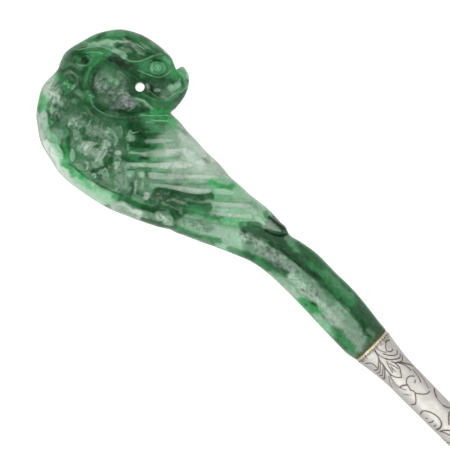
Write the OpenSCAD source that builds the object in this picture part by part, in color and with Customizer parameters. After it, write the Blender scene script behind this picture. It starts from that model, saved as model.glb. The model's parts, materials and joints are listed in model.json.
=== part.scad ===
// Long hairpin: a carved jade bird whose tail runs on as a round neck, set in a hollow silver shank.
// The pin lies on its side, bird to the left, with the shank along +X.

/* [Jade bird] */
// Width of the bird, from its breast to the tip of its wing
bird_w = 50.5; // [45:0.5:56]
// Height of the bird, from its rump to its crown
bird_h = 40.6; // [37:0.2:45]
// Thickness of the bird through its body
bird_t = 10.4; // [9:0.2:12.6]
// How far in from the outline each face is rounded over
edge_r = 4.6; // [3.4:0.2:5.4]
// Depth of the deepest carved line
carve_depth = 0.9; // [0.35:0.05:1.1]
// Width of the carved lines round the head and the wing
line_w = 2.1; // [1.8:0.1:2.8]
// Width of the flutes between the long feathers
flute_w = 2.3; // [1.8:0.1:2.6]
// Width of the small scales on the shoulder
scale_w = 2.7; // [2:0.1:3.4]
// Diameter of the hole drilled through the bird behind its beak
hole_d = 1.9; // [1.3:0.1:2.5]

/* [Jade neck] */
// Length of the neck, from the bird's rump to the silver
neck_l = 29.2; // [25:0.2:36]
// Diameter of the neck where it meets the silver
neck_d = 8.4; // [7.8:0.1:9.2]
// Angle between the pin and the bird's width
pin_lean = 45.3; // [40:0.1:50]

/* [Socket] */
// Length of the jade tenon inside the silver
tenon_l = 8; // [5:0.5:12]
// Clearance round the tenon
fit_gap = 0.1; // [0.05:0.05:0.2]
// Width of the gilt lip between jade and silver
lip_w = 0.7; // [0.5:0.1:1.2]
// Clearance between faces that are set against each other
seat_gap = 0.05; // [0.02:0.01:0.1]

/* [Silver shank] */
// Length of the silver, from the lip to its tip
shank_l = 115; // [95:1:140]
// Diameter of the silver where its flared mouth ends
shank_d = 6.5; // [6:0.1:7.2]
// Length of the flared mouth
flare_l = 8; // [6:0.5:12]
// Diameter of the silver just before its rounded tip
tip_d = 4.4; // [3.6:0.1:5.2]
// Thickness of the silver wall
wall = 0.6; // [0.4:0.05:0.8]

/* [Hidden] */
$fn = 64;

// Columns of the rung tables: left end, middle, right end and thickness
LEFT_X = 0;
LEFT_Y = 1;
MID_X = 2;
MID_Y = 3;
RIGHT_X = 4;
RIGHT_Y = 5;
THICK = 6;

// Curved rungs across the bird from rump to beak, each from the breast side to the wing side.
// Those on the wing follow its flutes, and those on the head start from the edge of the cheek.
// Places are percent of the bird's width and height from its lower left, thickness percent of its own.
BIRD_RUNGS = [
    [ 85.3, -14.8,  93.5,  -8.6, 101.6,  -2.7,  84],
    [ 79.0, -11.3,  89.3,  -5.4, 100.2,  -1.2,  87],
    [ 69.5,  -6.7,  84.2,  -0.5,  99.4,   0.5,  90],
    [ 55.2,   0.0,  76.2,   3.2,  98.6,   2.7,  94],
    [ 38.6,   6.9,  67.1,  10.6,  96.4,   5.2,  98],
    [ 26.7,  13.1,  59.6,  15.8,  91.5,  11.6, 100],
    [ 15.6,  22.7,  50.1,  22.4,  83.4,  19.5, 100],
    [ 10.1,  28.8,  43.0,  28.6,  77.0,  26.6, 100],
    [  7.3,  33.5,  39.8,  33.0,  72.5,  33.0, 100],
    [  4.0,  39.9,  35.8,  39.4,  66.7,  39.7, 100],
    [  2.2,  44.6,  33.1,  44.3,  63.2,  44.8, 100],
    [  1.0,  49.0,  30.7,  48.5,  59.8,  49.5, 100],
    [  0.2,  54.2,  27.9,  51.5,  57.0,  53.9, 100],
    [  0.0,  58.6,  26.7,  54.2,  54.7,  56.7, 100],
    [  0.8,  64.5,  26.3,  56.2,  53.4,  58.3, 100],
    [  2.8,  71.4,  25.1,  58.4,  53.2,  58.8, 100],
    [  8.1,  79.3,  24.8,  61.6,  53.4,  59.0,  99],
    [  9.5,  83.7,  26.7,  66.0,  53.7,  59.5,  99],
    [ 11.7,  88.7,  29.9,  70.9,  54.3,  60.1,  98],
    [ 17.2,  93.3,  33.9,  74.9,  55.1,  60.9,  97],
    [ 24.8,  97.6,  38.2,  77.3,  56.0,  62.3,  96],
    [ 33.1,  99.8,  43.0,  79.8,  57.0,  63.7,  94],
    [ 41.0,  97.2,  48.1,  79.3,  58.0,  65.5,  91],
    [ 47.9,  92.0,  52.5,  78.3,  59.0,  67.6,  87],
    [ 52.9,  86.7,  55.6,  77.1,  59.6,  69.4,  82],
    [ 54.6,  82.3,  56.8,  76.1,  60.0,  70.8,  76],
    [ 55.1,  80.0,  57.6,  76.4,  60.2,  72.1,  69],
    [ 56.6,  80.8,  58.6,  77.3,  60.4,  73.5,  58],
    [ 58.6,  80.5,  59.6,  78.1,  60.4,  74.9,  40],
    [ 60.3,  77.3,  60.3,  77.3,  60.3,  77.3,   0],
];

// Sections of the neck from the silver to the bird: percent of the neck's length for the place along it,
// then percent of its diameter for the sideways offset, the width and the thickness
NECK_ALONG = 0;
NECK_ASIDE = 1;
NECK_WIDE = 2;
NECK_THICK = 3;
NECK_SECTIONS = [
    [ 0,  0.0, 100, 100],
    [ 3, -0.5, 104, 102],
    [ 9, -1.5, 108, 103],
    [28,  1.0, 111, 104],
    [48,  3.3, 112, 104],
    [68,  2.8, 110, 104],
    [84, -1.0, 107, 104],
];
// Middle of the rung where the neck takes over, in percent of the bird, and its offset in percent of neck_d
RUMP = [90.1, -6.4];
RUMP_ASIDE = -13.8;

// Carved lines in percent of the bird's width and height
WING_BORDER = [[6.1, 69.0], [4.6, 61.1], [4.8, 53.2], [6.9, 45.3], [10.1, 38.4], [14.5, 31.3],
    [21.2, 25.4], [29.1, 19.7], [37.0, 15.8], [45.7, 12.3], [55.2, 9.1], [64.8, 6.2], [74.3, 3.9],
    [83.0, 2.5], [91.7, 0.2]];
HEAD_EDGE = [[8.9, 80.0], [12.5, 79.1], [16.8, 77.1], [20.0, 73.9], [20.6, 70.0], [22.0, 66.0], [23.6, 61.6],
    [26.7, 58.6], [31.5, 56.9], [37.8, 56.4], [45.0, 57.4], [53.3, 58.6]];
CHEEK_RIM = [[28.3, 85.7], [24.0, 83.3], [21.6, 78.8], [21.2, 73.9], [22.4, 69.0], [24.0, 65.0], [26.0, 62.0],
    [29.5, 60.0], [34.0, 59.0], [39.4, 59.0], [45.7, 60.0]];
BROW = [[14.1, 83.3], [17.2, 87.7], [22.0, 90.3], [26.7, 90.3], [31.1, 87.9], [35.4, 84.5], [39.8, 83.5],
    [44.2, 85.5], [48.1, 87.4], [52.1, 86.2]];
MOUTH = [[31.5, 85.7], [35.8, 80.8], [40.6, 76.8], [45.7, 74.1], [50.9, 73.0], [55.6, 74.1], [60.0, 76.8]];
JAW = [[42.6, 69.0], [46.1, 65.5], [50.1, 63.1], [54.5, 64.0], [57.6, 67.5], [59.8, 71.9]];
CREST = [[11.7, 86.2], [16.4, 89.7], [22.0, 92.6], [28.3, 94.3], [33.9, 93.6], [39.4, 91.1], [44.2, 88.7]];

// Carved strokes: the line, its width in percent of line_w, and its height in percent of carve_depth,
// below zero for a groove
STROKE_LINE = 0;
STROKE_WIDE = 1;
STROKE_RISE = 2;
STROKES = [
    [WING_BORDER, 105, -80],
    [HEAD_EDGE,   105, -100],
    [CHEEK_RIM,    95,  60],
    [BROW,         95,  60],
    [MOUTH,        95, -80],
    [JAW,          85, -40],
    [CREST,        85, -35],
];

// Flutes between the long feathers of the wing: both ends, and the width in percent of flute_w
FLUTE_WIDE = 4;
FLUTES = [
    [45.0, 56.4, 52.1, 56.4,  60],
    [44.2, 52.6, 53.7, 52.8,  70],
    [44.2, 48.8, 56.0, 48.7,  75],
    [41.8, 44.8, 54.1, 45.1,  85],
    [41.4, 38.9, 58.4, 39.9, 110],
    [36.2, 33.0, 60.8, 33.2, 115],
    [45.0, 28.3, 70.7, 26.8, 100],
    [45.7, 23.9, 76.6, 19.8, 100],
    [58.4, 16.0, 83.8, 12.6, 100],
    [66.3, 11.1, 89.3,  6.2, 100],
];
FLUTE_RISE = -60;

// Round details: middle and half sizes in percent of the bird, height in percent of carve_depth,
// and how much of the half size is flat on top, in percent
SPOT_X = 0;
SPOT_Y = 1;
SPOT_RX = 2;
SPOT_RY = 3;
SPOT_RISE = 4;
SPOT_FLAT = 5;
SPOTS = [
    [47.5, 80.6, 5.8,  4.8,  90, 20],
    [19.4, 83.9, 2.6,  2.6, -70, 20],
    [30.5, 70.0, 8.6, 10.0, -70, 70],
    [47.0, 69.8, 7.0,  4.2, -45, 50],
];

// Rows of small scales on the shoulder and of short feathers at the wing's root:
// three corners of the field in percent of the bird, and how many stand along and across it
FIELD_FROM = 0;
FIELD_ALONG = 1;
FIELD_ACROSS = 2;
FIELD_COUNT = 3;
SCALE_FIELDS = [
    [[10.0, 62.0], [22.0, 29.0], [31.0, 52.0], [5, 4]],
    [[36.5, 28.5], [44.0, 18.5], [44.5, 29.5], [3, 3]],
];
SCALE_RISE = 35;

// Middle of the drilled hole, in percent of the bird
HOLE_AT = [41.0, 71.2];
PERCENT = 0.01;

// How finely the jade is drawn: sections along the bird and the neck, and quads across a face,
// which crowd towards the rounded edges by ROUND_SHARE. DOME is how much each face swells in the middle.
bird_step = bird_w / 60;
neck_step = neck_l / 17;
ACROSS = 24;
ROUND_SHARE = 0.5;
DOME = 0.05;

neck_r = neck_d / 2;

// A rung holds its left end, its middle, its right end and its thickness
LEFT = 0;
MIDDLE = 1;
RIGHT = 2;
DEEP = 3;

// A place on the bird, in percent of its sizes, as a point beside the pin's axis
function on_bird(at) =
    let (
        u = (at[0] - RUMP[0]) * PERCENT * bird_w,
        v = (at[1] - RUMP[1]) * PERCENT * bird_h
    )
    [
        u * cos(pin_lean) - v * sin(pin_lean) - neck_l,
        u * sin(pin_lean) + v * cos(pin_lean) + RUMP_ASIDE * PERCENT * neck_d
    ];

function bird_rung(row) = [
    on_bird([row[LEFT_X], row[LEFT_Y]]),
    on_bird([row[MID_X], row[MID_Y]]),
    on_bird([row[RIGHT_X], row[RIGHT_Y]]),
    row[THICK] * PERCENT * bird_t
];

function neck_rung(row) =
    let (
        x = -row[NECK_ALONG] * PERCENT * neck_l,
        y = row[NECK_ASIDE] * PERCENT * neck_d,
        half = row[NECK_WIDE] * PERCENT * neck_r
    )
    [[x, y - half], [x, y], [x, y + half], row[NECK_THICK] * PERCENT * neck_d];

function spline(a, b, c, d, t) =
    0.5 * (2 * b + (c - a) * t + (2 * a - 5 * b + 4 * c - d) * t ^ 2 + (3 * b - a - 3 * c + d) * t ^ 3);

function on_rung(rung, s) =
    rung[LEFT] * (1 - s) * (1 - 2 * s) + rung[MIDDLE] * 4 * s * (1 - s) + rung[RIGHT] * s * (2 * s - 1);

function rung_travel(a, b) =
    (norm(b[LEFT] - a[LEFT]) + norm(b[MIDDLE] - a[MIDDLE]) + norm(b[RIGHT] - a[RIGHT])) / 3;

function rung_steps(rungs, i) =
    let (step = i < len(NECK_SECTIONS) - 1 ? neck_step : bird_step)
    max(1, ceil(rung_travel(rungs[i], rungs[i + 1]) / step));

// All sections of the jade, splined between the rungs
function fine_rungs(rungs) =
    let (last = len(rungs) - 1)
    concat(
        [for (i = [0 : last - 1])
            let (n = rung_steps(rungs, i))
            for (k = [0 : n - 1])
                spline(rungs[max(i - 1, 0)], rungs[i], rungs[i + 1], rungs[min(i + 2, last)], k / n)],
        [rungs[last]]
    );

// Distance from a point to a carved line
function segment_distance(p, a, b) =
    let (
        ab = b - a,
        t = max(0, min(1, (p - a) * ab / (ab * ab)))
    )
    norm(p - a - ab * t);
function line_distance(p, line) =
    min([for (i = [0 : len(line) - 2]) segment_distance(p, line[i], line[i + 1])]);

// A smooth bump that is 1 in the middle and 0 at its reach
function bump(distance, reach) = distance < reach ? (1 + cos(180 * distance / reach)) / 2 : 0;
function mesa(share, flat) = bump(max(share - flat, 0), 1 - flat);
function total(values) = len(values) == 0 ? 0 : values * [for (v = values) 1];

strokes_here = [for (s = STROKES)
    [[for (at = s[STROKE_LINE]) on_bird(at)], s[STROKE_WIDE] * PERCENT * line_w / 2, s[STROKE_RISE]]];
flutes_here = [for (f = FLUTES)
    [on_bird([f[0], f[1]]), on_bird([f[2], f[3]]), f[FLUTE_WIDE] * PERCENT * flute_w / 2]];
spots_here = [for (s = SPOTS) concat(on_bird([s[SPOT_X], s[SPOT_Y]]), s)];
scales_here = [for (f = SCALE_FIELDS)
    let (
        along = f[FIELD_ALONG] - f[FIELD_FROM],
        across = f[FIELD_ACROSS] - f[FIELD_FROM],
        count = f[FIELD_COUNT]
    )
    for (i = [0 : count[0] - 1])
        for (j = [0 : count[1] - 1])
            let (
                up = i / (count[0] - 1),
                over = (j + 0.5 * (i % 2)) / (count[1] - 0.5)
            )
            on_bird(f[FIELD_FROM] + along * up + across * over)];

// Share of a round detail's half sizes at which a point lies
function spot_share(p, spot) =
    let (
        gap = p - [spot[0], spot[1]],
        u = gap[0] * cos(pin_lean) + gap[1] * sin(pin_lean),
        v = -gap[0] * sin(pin_lean) + gap[1] * cos(pin_lean)
    )
    norm([u / (spot[2 + SPOT_RX] * PERCENT * bird_w), v / (spot[2 + SPOT_RY] * PERCENT * bird_h)]);

function stroke_rise(p, s) = s[STROKE_RISE] * bump(line_distance(p, s[STROKE_LINE]), s[STROKE_WIDE]);
function flute_rise(p, f) = FLUTE_RISE * bump(segment_distance(p, f[0], f[1]), f[2]);
function spot_rise(p, s) = s[2 + SPOT_RISE] * mesa(min(spot_share(p, s), 1), s[2 + SPOT_FLAT] * PERCENT);

// Height that the carving adds at a point of either face
function carving(p) =
    carve_depth * PERCENT * (
        total([for (s = strokes_here) stroke_rise(p, s)])
        + total([for (f = flutes_here) flute_rise(p, f)])
        + total([for (s = spots_here) spot_rise(p, s)])
        + total([for (s = scales_here) SCALE_RISE * bump(norm(p - s), scale_w / 2)])
    );

// Height of one face over the middle plane, for the share s of the way across a rung
function face_height(rung, s) =
    let (
        width = norm(rung[RIGHT] - rung[LEFT]),
        inset = min(s, 1 - s) * width,
        rounding = min(edge_r, width / 2),
        fall = 1 - min(inset / max(rounding, seat_gap), 1),
        base = rung[DEEP] / 2 * sqrt(1 - fall ^ 2),
        dome = 1 + DOME * (1 - (2 * s - 1) ^ 2) * min(1, width / bird_w)
    )
    base * dome + carving(on_rung(rung, s)) * sqrt(1 - fall);

function column_share(j) =
    let (s = j / ACROSS)
    s * (1 - ROUND_SHARE) + (1 - cos(180 * s)) / 2 * ROUND_SHARE;

// One closed ring of points round a section: over the upper face, then back under the lower one
function section_ring(rung) =
    let (
        heights = [for (j = [0 : ACROSS]) face_height(rung, column_share(j))],
        places = [for (j = [0 : ACROSS]) on_rung(rung, column_share(j))]
    )
    concat(
        [for (j = [0 : ACROSS]) concat(places[j], heights[j])],
        [for (j = [ACROSS - 1 : -1 : 1]) concat(places[j], -heights[j])]
    );

jade_rungs = fine_rungs(concat(
    [for (row = NECK_SECTIONS) neck_rung(row)],
    [for (row = BIRD_RUNGS) bird_rung(row)]
));
RING = 2 * ACROSS;
ring_count = len(jade_rungs) - 1;
beak_tip = concat(jade_rungs[ring_count][LEFT], 0);
jade_points = concat(
    [for (i = [0 : ring_count - 1]) for (p = section_ring(jade_rungs[i])) p],
    [beak_tip]
);
jade_faces = concat(
    [[for (j = [0 : RING - 1]) j]],
    [for (i = [0 : ring_count - 2]) for (j = [0 : RING - 1])
        let (
            a = i * RING + j,
            b = i * RING + (j + 1) % RING
        )
        for (side = [0, 1]) side == 0 ? [a, a + RING, b + RING] : [a, b + RING, b]],
    [for (j = [0 : RING - 1])
        let (last_ring = (ring_count - 1) * RING)
        [last_ring + j, len(jade_points) - 1, last_ring + (j + 1) % RING]]
);

// The silver begins behind the lip, and the pin rests on its tip and on the bird's body
shank_x = lip_w + 2 * seat_gap;
pin_end = shank_x + shank_l;
rest_tilt = asin((bird_t - tip_d) / 2 / (pin_end + neck_l));

// Outer radius of the silver at a distance from its mouth
function shank_radius(x) =
    x < flare_l
    ? shank_d / 2 + (neck_r - shank_d / 2) * (1 - x / flare_l) ^ 1.5
    : shank_d / 2 + (tip_d - shank_d) / 2 * (x - flare_l) / (shank_l - flare_l);
tip_l = tip_d * 0.8;
function tip_radius(x) = shank_radius(x) * sqrt(max(0, 1 - ((x - shank_l + tip_l) / tip_l) ^ 2));
MOUTH_STEPS = 8;
BODY_STEPS = 4;
TIP_STEPS = 8;
shank_stations = concat(
    [for (i = [0 : MOUTH_STEPS]) flare_l * i / MOUTH_STEPS],
    [for (i = [1 : BODY_STEPS]) flare_l + (shank_l - tip_l - flare_l) * i / BODY_STEPS]
);

socket_l = tenon_l - shank_x + fit_gap;
socket_r = shank_radius(socket_l) - wall;
tenon_r = socket_r - fit_gap;

// The pin after it is tilted onto the surface, to find the middle of its box and its lowest point
function tilted(p) =
    [p[0] * cos(rest_tilt) + p[2] * sin(rest_tilt), p[1], p[2] * cos(rest_tilt) - p[0] * sin(rest_tilt)];
tip_low = tilted([pin_end - tip_l, 0, -tip_radius(shank_l - tip_l)]);
tip_far = tilted([pin_end, 0, 0]);
pin_at_rest = concat([for (p = jade_points) tilted(p)], [tip_low, tip_far]);
box_low = [for (k = [0 : 2]) min([for (p = pin_at_rest) p[k]])];
box_high = [for (k = [0 : 2]) max([for (p = pin_at_rest) p[k]])];
middle = [(box_low[0] + box_high[0]) / 2, (box_low[1] + box_high[1]) / 2, box_low[2]];

module at_rest() {
    translate(-middle)
        rotate([0, rest_tilt, 0])
            children();
}

module along_pin() {
    rotate([0, 90, 0])
        children();
}

module bird_finial() {
    place = on_bird(HOLE_AT);
    color("seagreen")
        at_rest()
            difference() {
                union() {
                    polyhedron(points = jade_points, faces = jade_faces, convexity = 10);
                    translate([-neck_r, 0, 0])
                        along_pin()
                            cylinder(h = tenon_l + neck_r, r = tenon_r);
                }
                translate([place[0], place[1], -bird_t])
                    cylinder(h = 2 * bird_t, d = hole_d);
            }
}

module gilt_lip() {
    color("goldenrod")
        at_rest()
            translate([seat_gap, 0, 0])
                along_pin()
                    difference() {
                        cylinder(h = lip_w, r = neck_r);
                        translate([0, 0, -lip_w])
                            cylinder(h = 3 * lip_w, r = socket_r);
                    }
}

module silver_shank() {
    outside = concat(
        [for (x = shank_stations) [shank_radius(x), x]],
        [for (i = [1 : TIP_STEPS - 1])
            let (x = shank_l - tip_l + tip_l * sin(90 * i / TIP_STEPS))
            [tip_radius(x), x]],
        [[0, shank_l]]
    );
    inside = [
        [0, shank_l - tip_l],
        [shank_radius(shank_l - tip_l) - wall, shank_l - tip_l],
        [socket_r, socket_l],
        [socket_r, 0],
    ];
    color("silver")
        at_rest()
            translate([shank_x, 0, 0])
                along_pin()
                    rotate_extrude()
                        polygon(concat(outside, inside));
}

bird_finial();
gilt_lip();
silver_shank();
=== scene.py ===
"""Dresses a packed hairpin, a carved jade bird on a chased silver shank, and sets it in a plain studio."""

import itertools
import json
import math

import bmesh
import bpy
import numpy as np
from bpy.props import FloatProperty, FloatVectorProperty, PointerProperty
from mathutils import Matrix, Vector


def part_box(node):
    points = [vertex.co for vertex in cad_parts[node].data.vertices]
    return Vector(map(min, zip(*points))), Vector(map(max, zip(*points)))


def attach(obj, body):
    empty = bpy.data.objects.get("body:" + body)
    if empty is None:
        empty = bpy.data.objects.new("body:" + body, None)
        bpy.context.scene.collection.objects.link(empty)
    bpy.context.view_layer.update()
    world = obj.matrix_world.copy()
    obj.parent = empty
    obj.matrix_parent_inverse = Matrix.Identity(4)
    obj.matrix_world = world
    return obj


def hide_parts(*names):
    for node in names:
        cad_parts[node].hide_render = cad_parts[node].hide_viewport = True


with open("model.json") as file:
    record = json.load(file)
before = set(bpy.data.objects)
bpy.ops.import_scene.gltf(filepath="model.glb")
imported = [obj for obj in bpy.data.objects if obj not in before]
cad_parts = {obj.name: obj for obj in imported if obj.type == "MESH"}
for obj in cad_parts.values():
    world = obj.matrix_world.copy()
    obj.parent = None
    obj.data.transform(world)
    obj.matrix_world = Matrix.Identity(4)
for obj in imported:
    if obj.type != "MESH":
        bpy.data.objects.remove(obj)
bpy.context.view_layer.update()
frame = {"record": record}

bl_info = {
    "name": "Binyeo hairpin",
    "version": (1, 0, 0),
    "blender": (4, 5, 0),
    "location": "View3D > Sidebar > Hairpin",
    "description": "Builds the jade bird, the gilt lip and the chased silver shank of a hairpin",
    "category": "Add Mesh",
}

MM = 0.001
PERCENT = 0.01
BODY = "root"
# Keeps divisions from being by nought
TINY = 1e-6


def linear(hex_colour):
    """An sRGB hex colour as linear red, green and blue."""
    parts = [int(hex_colour[i : i + 2], 16) / 255 for i in (1, 3, 5)]
    return tuple(p / 12.92 if p <= 0.04045 else ((p + 0.055) / 1.055) ** 2.4 for p in parts)


# Curved rungs across the bird from rump to beak, each from the breast's side to the wing's, in percent of
# its width and height, then its thickness in percent of the bird's own
BIRD_RUNGS = [
    [85.3, -14.8, 93.5, -8.6, 101.6, -2.7, 84],
    [79, -11.3, 89.3, -5.4, 100.2, -1.2, 87],
    [69.5, -6.7, 84.2, -0.5, 99.4, 0.5, 90],
    [55.2, 0, 76.2, 3.2, 98.6, 2.7, 94],
    [38.6, 6.9, 67.1, 10.6, 96.4, 5.2, 98],
    [26.7, 13.1, 59.6, 15.8, 91.5, 11.6, 100],
    [15.6, 22.7, 50.1, 22.4, 83.4, 19.5, 100],
    [10.1, 28.8, 43, 28.6, 77, 26.6, 100],
    [7.3, 33.5, 39.8, 33, 72.5, 33, 100],
    [4, 39.9, 35.8, 39.4, 66.7, 39.7, 100],
    [2.2, 44.6, 33.1, 44.3, 63.2, 44.8, 100],
    [1, 49, 30.7, 48.5, 59.8, 49.5, 100],
    [0.2, 54.2, 27.9, 51.5, 57, 53.9, 100],
    [0, 58.6, 26.7, 54.2, 54.7, 56.7, 100],
    [0.8, 64.5, 26.3, 56.2, 53.4, 58.3, 100],
    [2.8, 71.4, 25.1, 58.4, 53.2, 58.8, 100],
    [8.1, 79.3, 24.8, 61.6, 53.4, 59, 99],
    [9.5, 83.7, 26.7, 66, 53.7, 59.5, 99],
    [11.7, 88.7, 29.9, 70.9, 54.3, 60.1, 98],
    [17.2, 93.3, 33.9, 74.9, 55.1, 60.9, 97],
    [24.8, 97.6, 38.2, 77.3, 56, 62.3, 96],
    [33.1, 99.8, 43, 79.8, 57, 63.7, 94],
    [41, 97.2, 48.1, 79.3, 58, 65.5, 91],
    [47.9, 92, 52.5, 78.3, 59, 67.6, 87],
    [52.9, 86.7, 55.6, 77.1, 59.6, 69.4, 82],
    [54.6, 82.3, 56.8, 76.1, 60, 70.8, 76],
    [55.1, 80, 57.6, 76.4, 60.2, 72.1, 69],
    [56.6, 80.8, 58.6, 77.3, 60.4, 73.5, 58],
    [58.6, 80.5, 59.6, 78.1, 60.4, 74.9, 40],
    [60.3, 77.3, 60.3, 77.3, 60.3, 77.3, 0],
]

# Sections of the neck from the silver to the bird: place along it in percent of its length, then offset,
# width and thickness in percent of its diameter
NECK_SECTIONS = [
    [0, 0, 100, 100],
    [3, -0.5, 104, 102],
    [9, -1.5, 108, 103],
    [28, 1, 111, 104],
    [48, 3.3, 112, 104],
    [68, 2.8, 110, 104],
    [84, -1, 107, 104],
]
# Middle of the rung where the neck takes over, in percent of the bird, and its offset in percent of the neck
RUMP = (90.1, -6.4)
RUMP_ASIDE = -13.8
# Bulge of each face's middle, as a share of the thickness
DOME = 0.05
# How much the points across a rung are drawn towards its ends, as a share
SOFT_EDGE = 0.5
# Where the outline swells past the plain solid's: place in percent of the bird, half length and push in mm
OUTLINE_SWELLS = [
    ((12, 25), 11, 0.42),
    ((33, 8.5), 6, 0.2),
    ((1.6, 43.4), 4, 0.25),
    ((80.4, 23), 3, 0.25),
    ((40.2, 5.8), 2.4, 0.3),
    ((45.2, 4.2), 2.4, 0.36),
    ((48.6, 2.7), 1.6, 0.3),
    ((52.4, 1.6), 1.2, -0.22),
    ((56.6, -0.4), 1.6, 0.25),
    ((61, -2.2), 2.4, 0.18),
    ((66, -4.4), 2.4, 0.15),
    ((3, 74), 5, 0.2),
    ((46, 94), 6, 0.25),
    ((58.8, 81.6), 1.6, 0.4),
    ((24, 98), 4, 0.2),
    ((68, 39), 9, 0.2),
    ((110, -12.5), 6.5, 0.35),
    ((126, -31), 10, 0.38),
]

# Carved lines in percent of the bird, each with its half width and its height in mm, below zero for a
# groove, then its tint, the tint's half width and its strength. The tints are partly the stone's own
# colour and partly painted light: dark ones along grooves are painted shade, pale ones along ridges
# painted highlights
CARVED_LINES = [
    # Edge of the wing, from the breast down to the tip
    ([(5.2, 60), (5.4, 52), (7.5, 43), (10.6, 38), (14, 33)], 0.9, -0.25, "green", 0.4, 0.3),
    ([(13.4, 33.6), (18, 29), (22.5, 25.2), (29, 20.8), (34, 18.2)], 0.45, -0.35, "deep", 0.24, 0.8),
    ([(34, 18.2), (40, 15.6), (45, 13.6), (50, 12.2)], 0.5, -0.2, "deep", 0.2, 0.35),
    ([(55, 12.4), (60, 11.6), (66, 9.8), (70.4, 8.3)], 0.4, 0.15, "leaf", 0.16, 0.35),
    ([(57, 7.6), (66, 5.4), (73, 3.9), (80, 2), (86, 0), (92, -2), (96, -3)], 0.8, -0.4, "deep", 0.3, 0.3),
    # Nape and the outer edge of the head
    ([(8.9, 80), (11.7, 78.8), (14.9, 76.8), (17.2, 73.9), (18.8, 70)], 0.7, -0.4, "deep", 0.5, 0.4),
    ([(18.8, 72.9), (19.2, 69), (20.4, 65.5), (21.2, 62.1), (23.2, 59.1)], 0.8, -0.35, "deep", 0.4, 0.25),
    ([(23.2, 59.1), (26.7, 56.9), (32.3, 55.4), (38.6, 55.4), (45, 56.7), (53.3, 58.6)], 0.8, -0.15,
     "bottle", 0.4, 0.3),
    # Rim of the cheek and the hollow inside it
    ([(27.5, 86.5), (24.4, 84.2), (21.6, 80.8), (20.4, 77.3), (20, 73.4)], 0.6, 0.35, "green", 0.25, 0.6),
    ([(20.4, 69.5), (21.6, 66.5), (22, 63.5), (23.6, 60.6), (26.7, 58.4)], 0.6, 0.35, "leaf", 0.16, 0.55),
    ([(22.4, 62), (23.6, 60.6), (26.7, 58.2), (31, 56.7)], 0.3, 0.15, "mist", 0.2, 0.5),
    ([(33, 56.4), (36.4, 56.2), (42, 57), (48.9, 57.4)], 0.3, 0.12, "mist", 0.14, 0.3),
    ([(26.7, 83.7), (24.4, 81.3), (22.6, 77.8), (21.8, 73.9), (22.2, 69.5), (23.2, 66.5)], 0.4, 0.2, "green",
     0.2, 0.4),
    ([(25.1, 81.8), (23.2, 77.8), (22.4, 72.9), (23.2, 68.5), (24.4, 65), (25.9, 61.6), (29.9, 59.4),
      (34.7, 58.6), (39.4, 59.6), (43.4, 60.1)], 0.9, -0.35, "deep", 0.5, 0.4),
    # Brows, with the hollow under them
    ([(16.4, 89.2), (21.2, 90.6), (25.5, 90.9), (29.1, 89.7), (31.9, 87.7), (34.3, 85.5), (37.4, 83.8),
      (40.6, 83.7), (43.8, 85), (46.5, 86.5), (49.7, 87.4)], 0.5, 0.45, "mint", 0.18, 0.6),
    ([(20.4, 88), (24, 88.2), (26.4, 87.6)], 0.35, 0.2, "mint", 0.18, 0.5),
    ([(26.7, 85.5), (30.3, 83.7), (33.9, 81.3), (37.4, 78.3), (40.6, 75.6), (43.8, 73.6)], 1.4, -0.35,
     "deep", 0.6, 0.4),
    # Eye, beak and jaw
    ([(40.6, 79.2), (44, 77.4), (48, 75.9), (51.2, 77), (53.4, 79.4)], 0.35, 0.3, "mint", 0.16, 0.6),
    ([(44.4, 80), (45.4, 83), (48.4, 84), (51.4, 83.2)], 0.3, -0.15, "deep", 0.2, 0.3),
    ([(43, 75.4), (46, 74), (49.3, 73), (53.7, 73.4), (56.6, 74.3)], 0.9, -0.3, "deep", 0.5, 0.4),
    ([(33.9, 70), (37, 67), (41, 65), (44.2, 62.8), (46.5, 60.1)], 0.5, 0.35, "leaf", 0.2, 0.4),
    ([(42, 68), (44.6, 66.3), (47.3, 64.6)], 0.3, 0.22, "leaf", 0.16, 0.5),
    ([(43.8, 70), (46.5, 67.5), (48.4, 66)], 0.3, 0.22, "leaf", 0.16, 0.5),
    ([(59.6, 71.9), (56.8, 68.5), (54.1, 66), (50.9, 64.5)], 0.4, 0.2, "leaf", 0.2, 0.4),
    # Crown and comb
    ([(18.8, 91.4), (23.2, 93.8), (28.3, 95.3), (33.5, 95.6), (38.6, 93.8), (43.8, 91.1), (48.5, 87.9)], 0.6,
     -0.25, "deep", 0.3, 0.3),
    ([(32.7, 93.6), (36.6, 92.6), (40.2, 89.7), (42.2, 86.7)], 0.3, -0.18, "deep", 0.25, 0.35),
    ([(35.4, 94.6), (39.8, 92.9), (43.4, 89.7), (45, 87.2)], 0.3, -0.18, "deep", 0.25, 0.4),
    ([(39.4, 94.1), (43.4, 91.6), (46.1, 89.2)], 0.3, -0.18, "leaf", 0.2, 0.3),
    ([(30.7, 91.1), (33.5, 89.7), (35.8, 87.2), (38.2, 85.7)], 0.3, -0.18, "deep", 0.25, 0.3),
    ([(16.4, 83), (18.8, 81.5), (21.2, 82.5), (22, 84.7), (20.4, 86.5)], 0.35, 0.25, "leaf", 0.18, 0.5),
    ([(11.7, 77.4), (14.1, 78.2), (16.2, 76.2), (16.8, 72.6)], 0.4, 0.25, "ash", 0.2, 0.4),
    # Top of the wing and the bars of its root
    ([(45, 54.7), (51.6, 54.7)], 0.3, 0.15, "leaf", 0.16, 0.6),
    ([(43.6, 52.2), (53, 51.8)], 0.35, -0.15, "leaf", 0.16, 0.3),
    ([(43, 49.4), (54.6, 48.8)], 0.35, -0.15, "leaf", 0.18, 0.35),
    ([(39.7, 32), (39.9, 27), (40.6, 22)], 0.35, 0.2, "green", 0.3, 0.5),
    ([(43.8, 32.2), (43.6, 27), (43, 21)], 0.35, 0.2, "green", 0.3, 0.6),
    ([(53.8, 16.2), (56.6, 15.4), (60, 13.2)], 0.3, 0.15, "mist", 0.14, 0.5),
]

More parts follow.
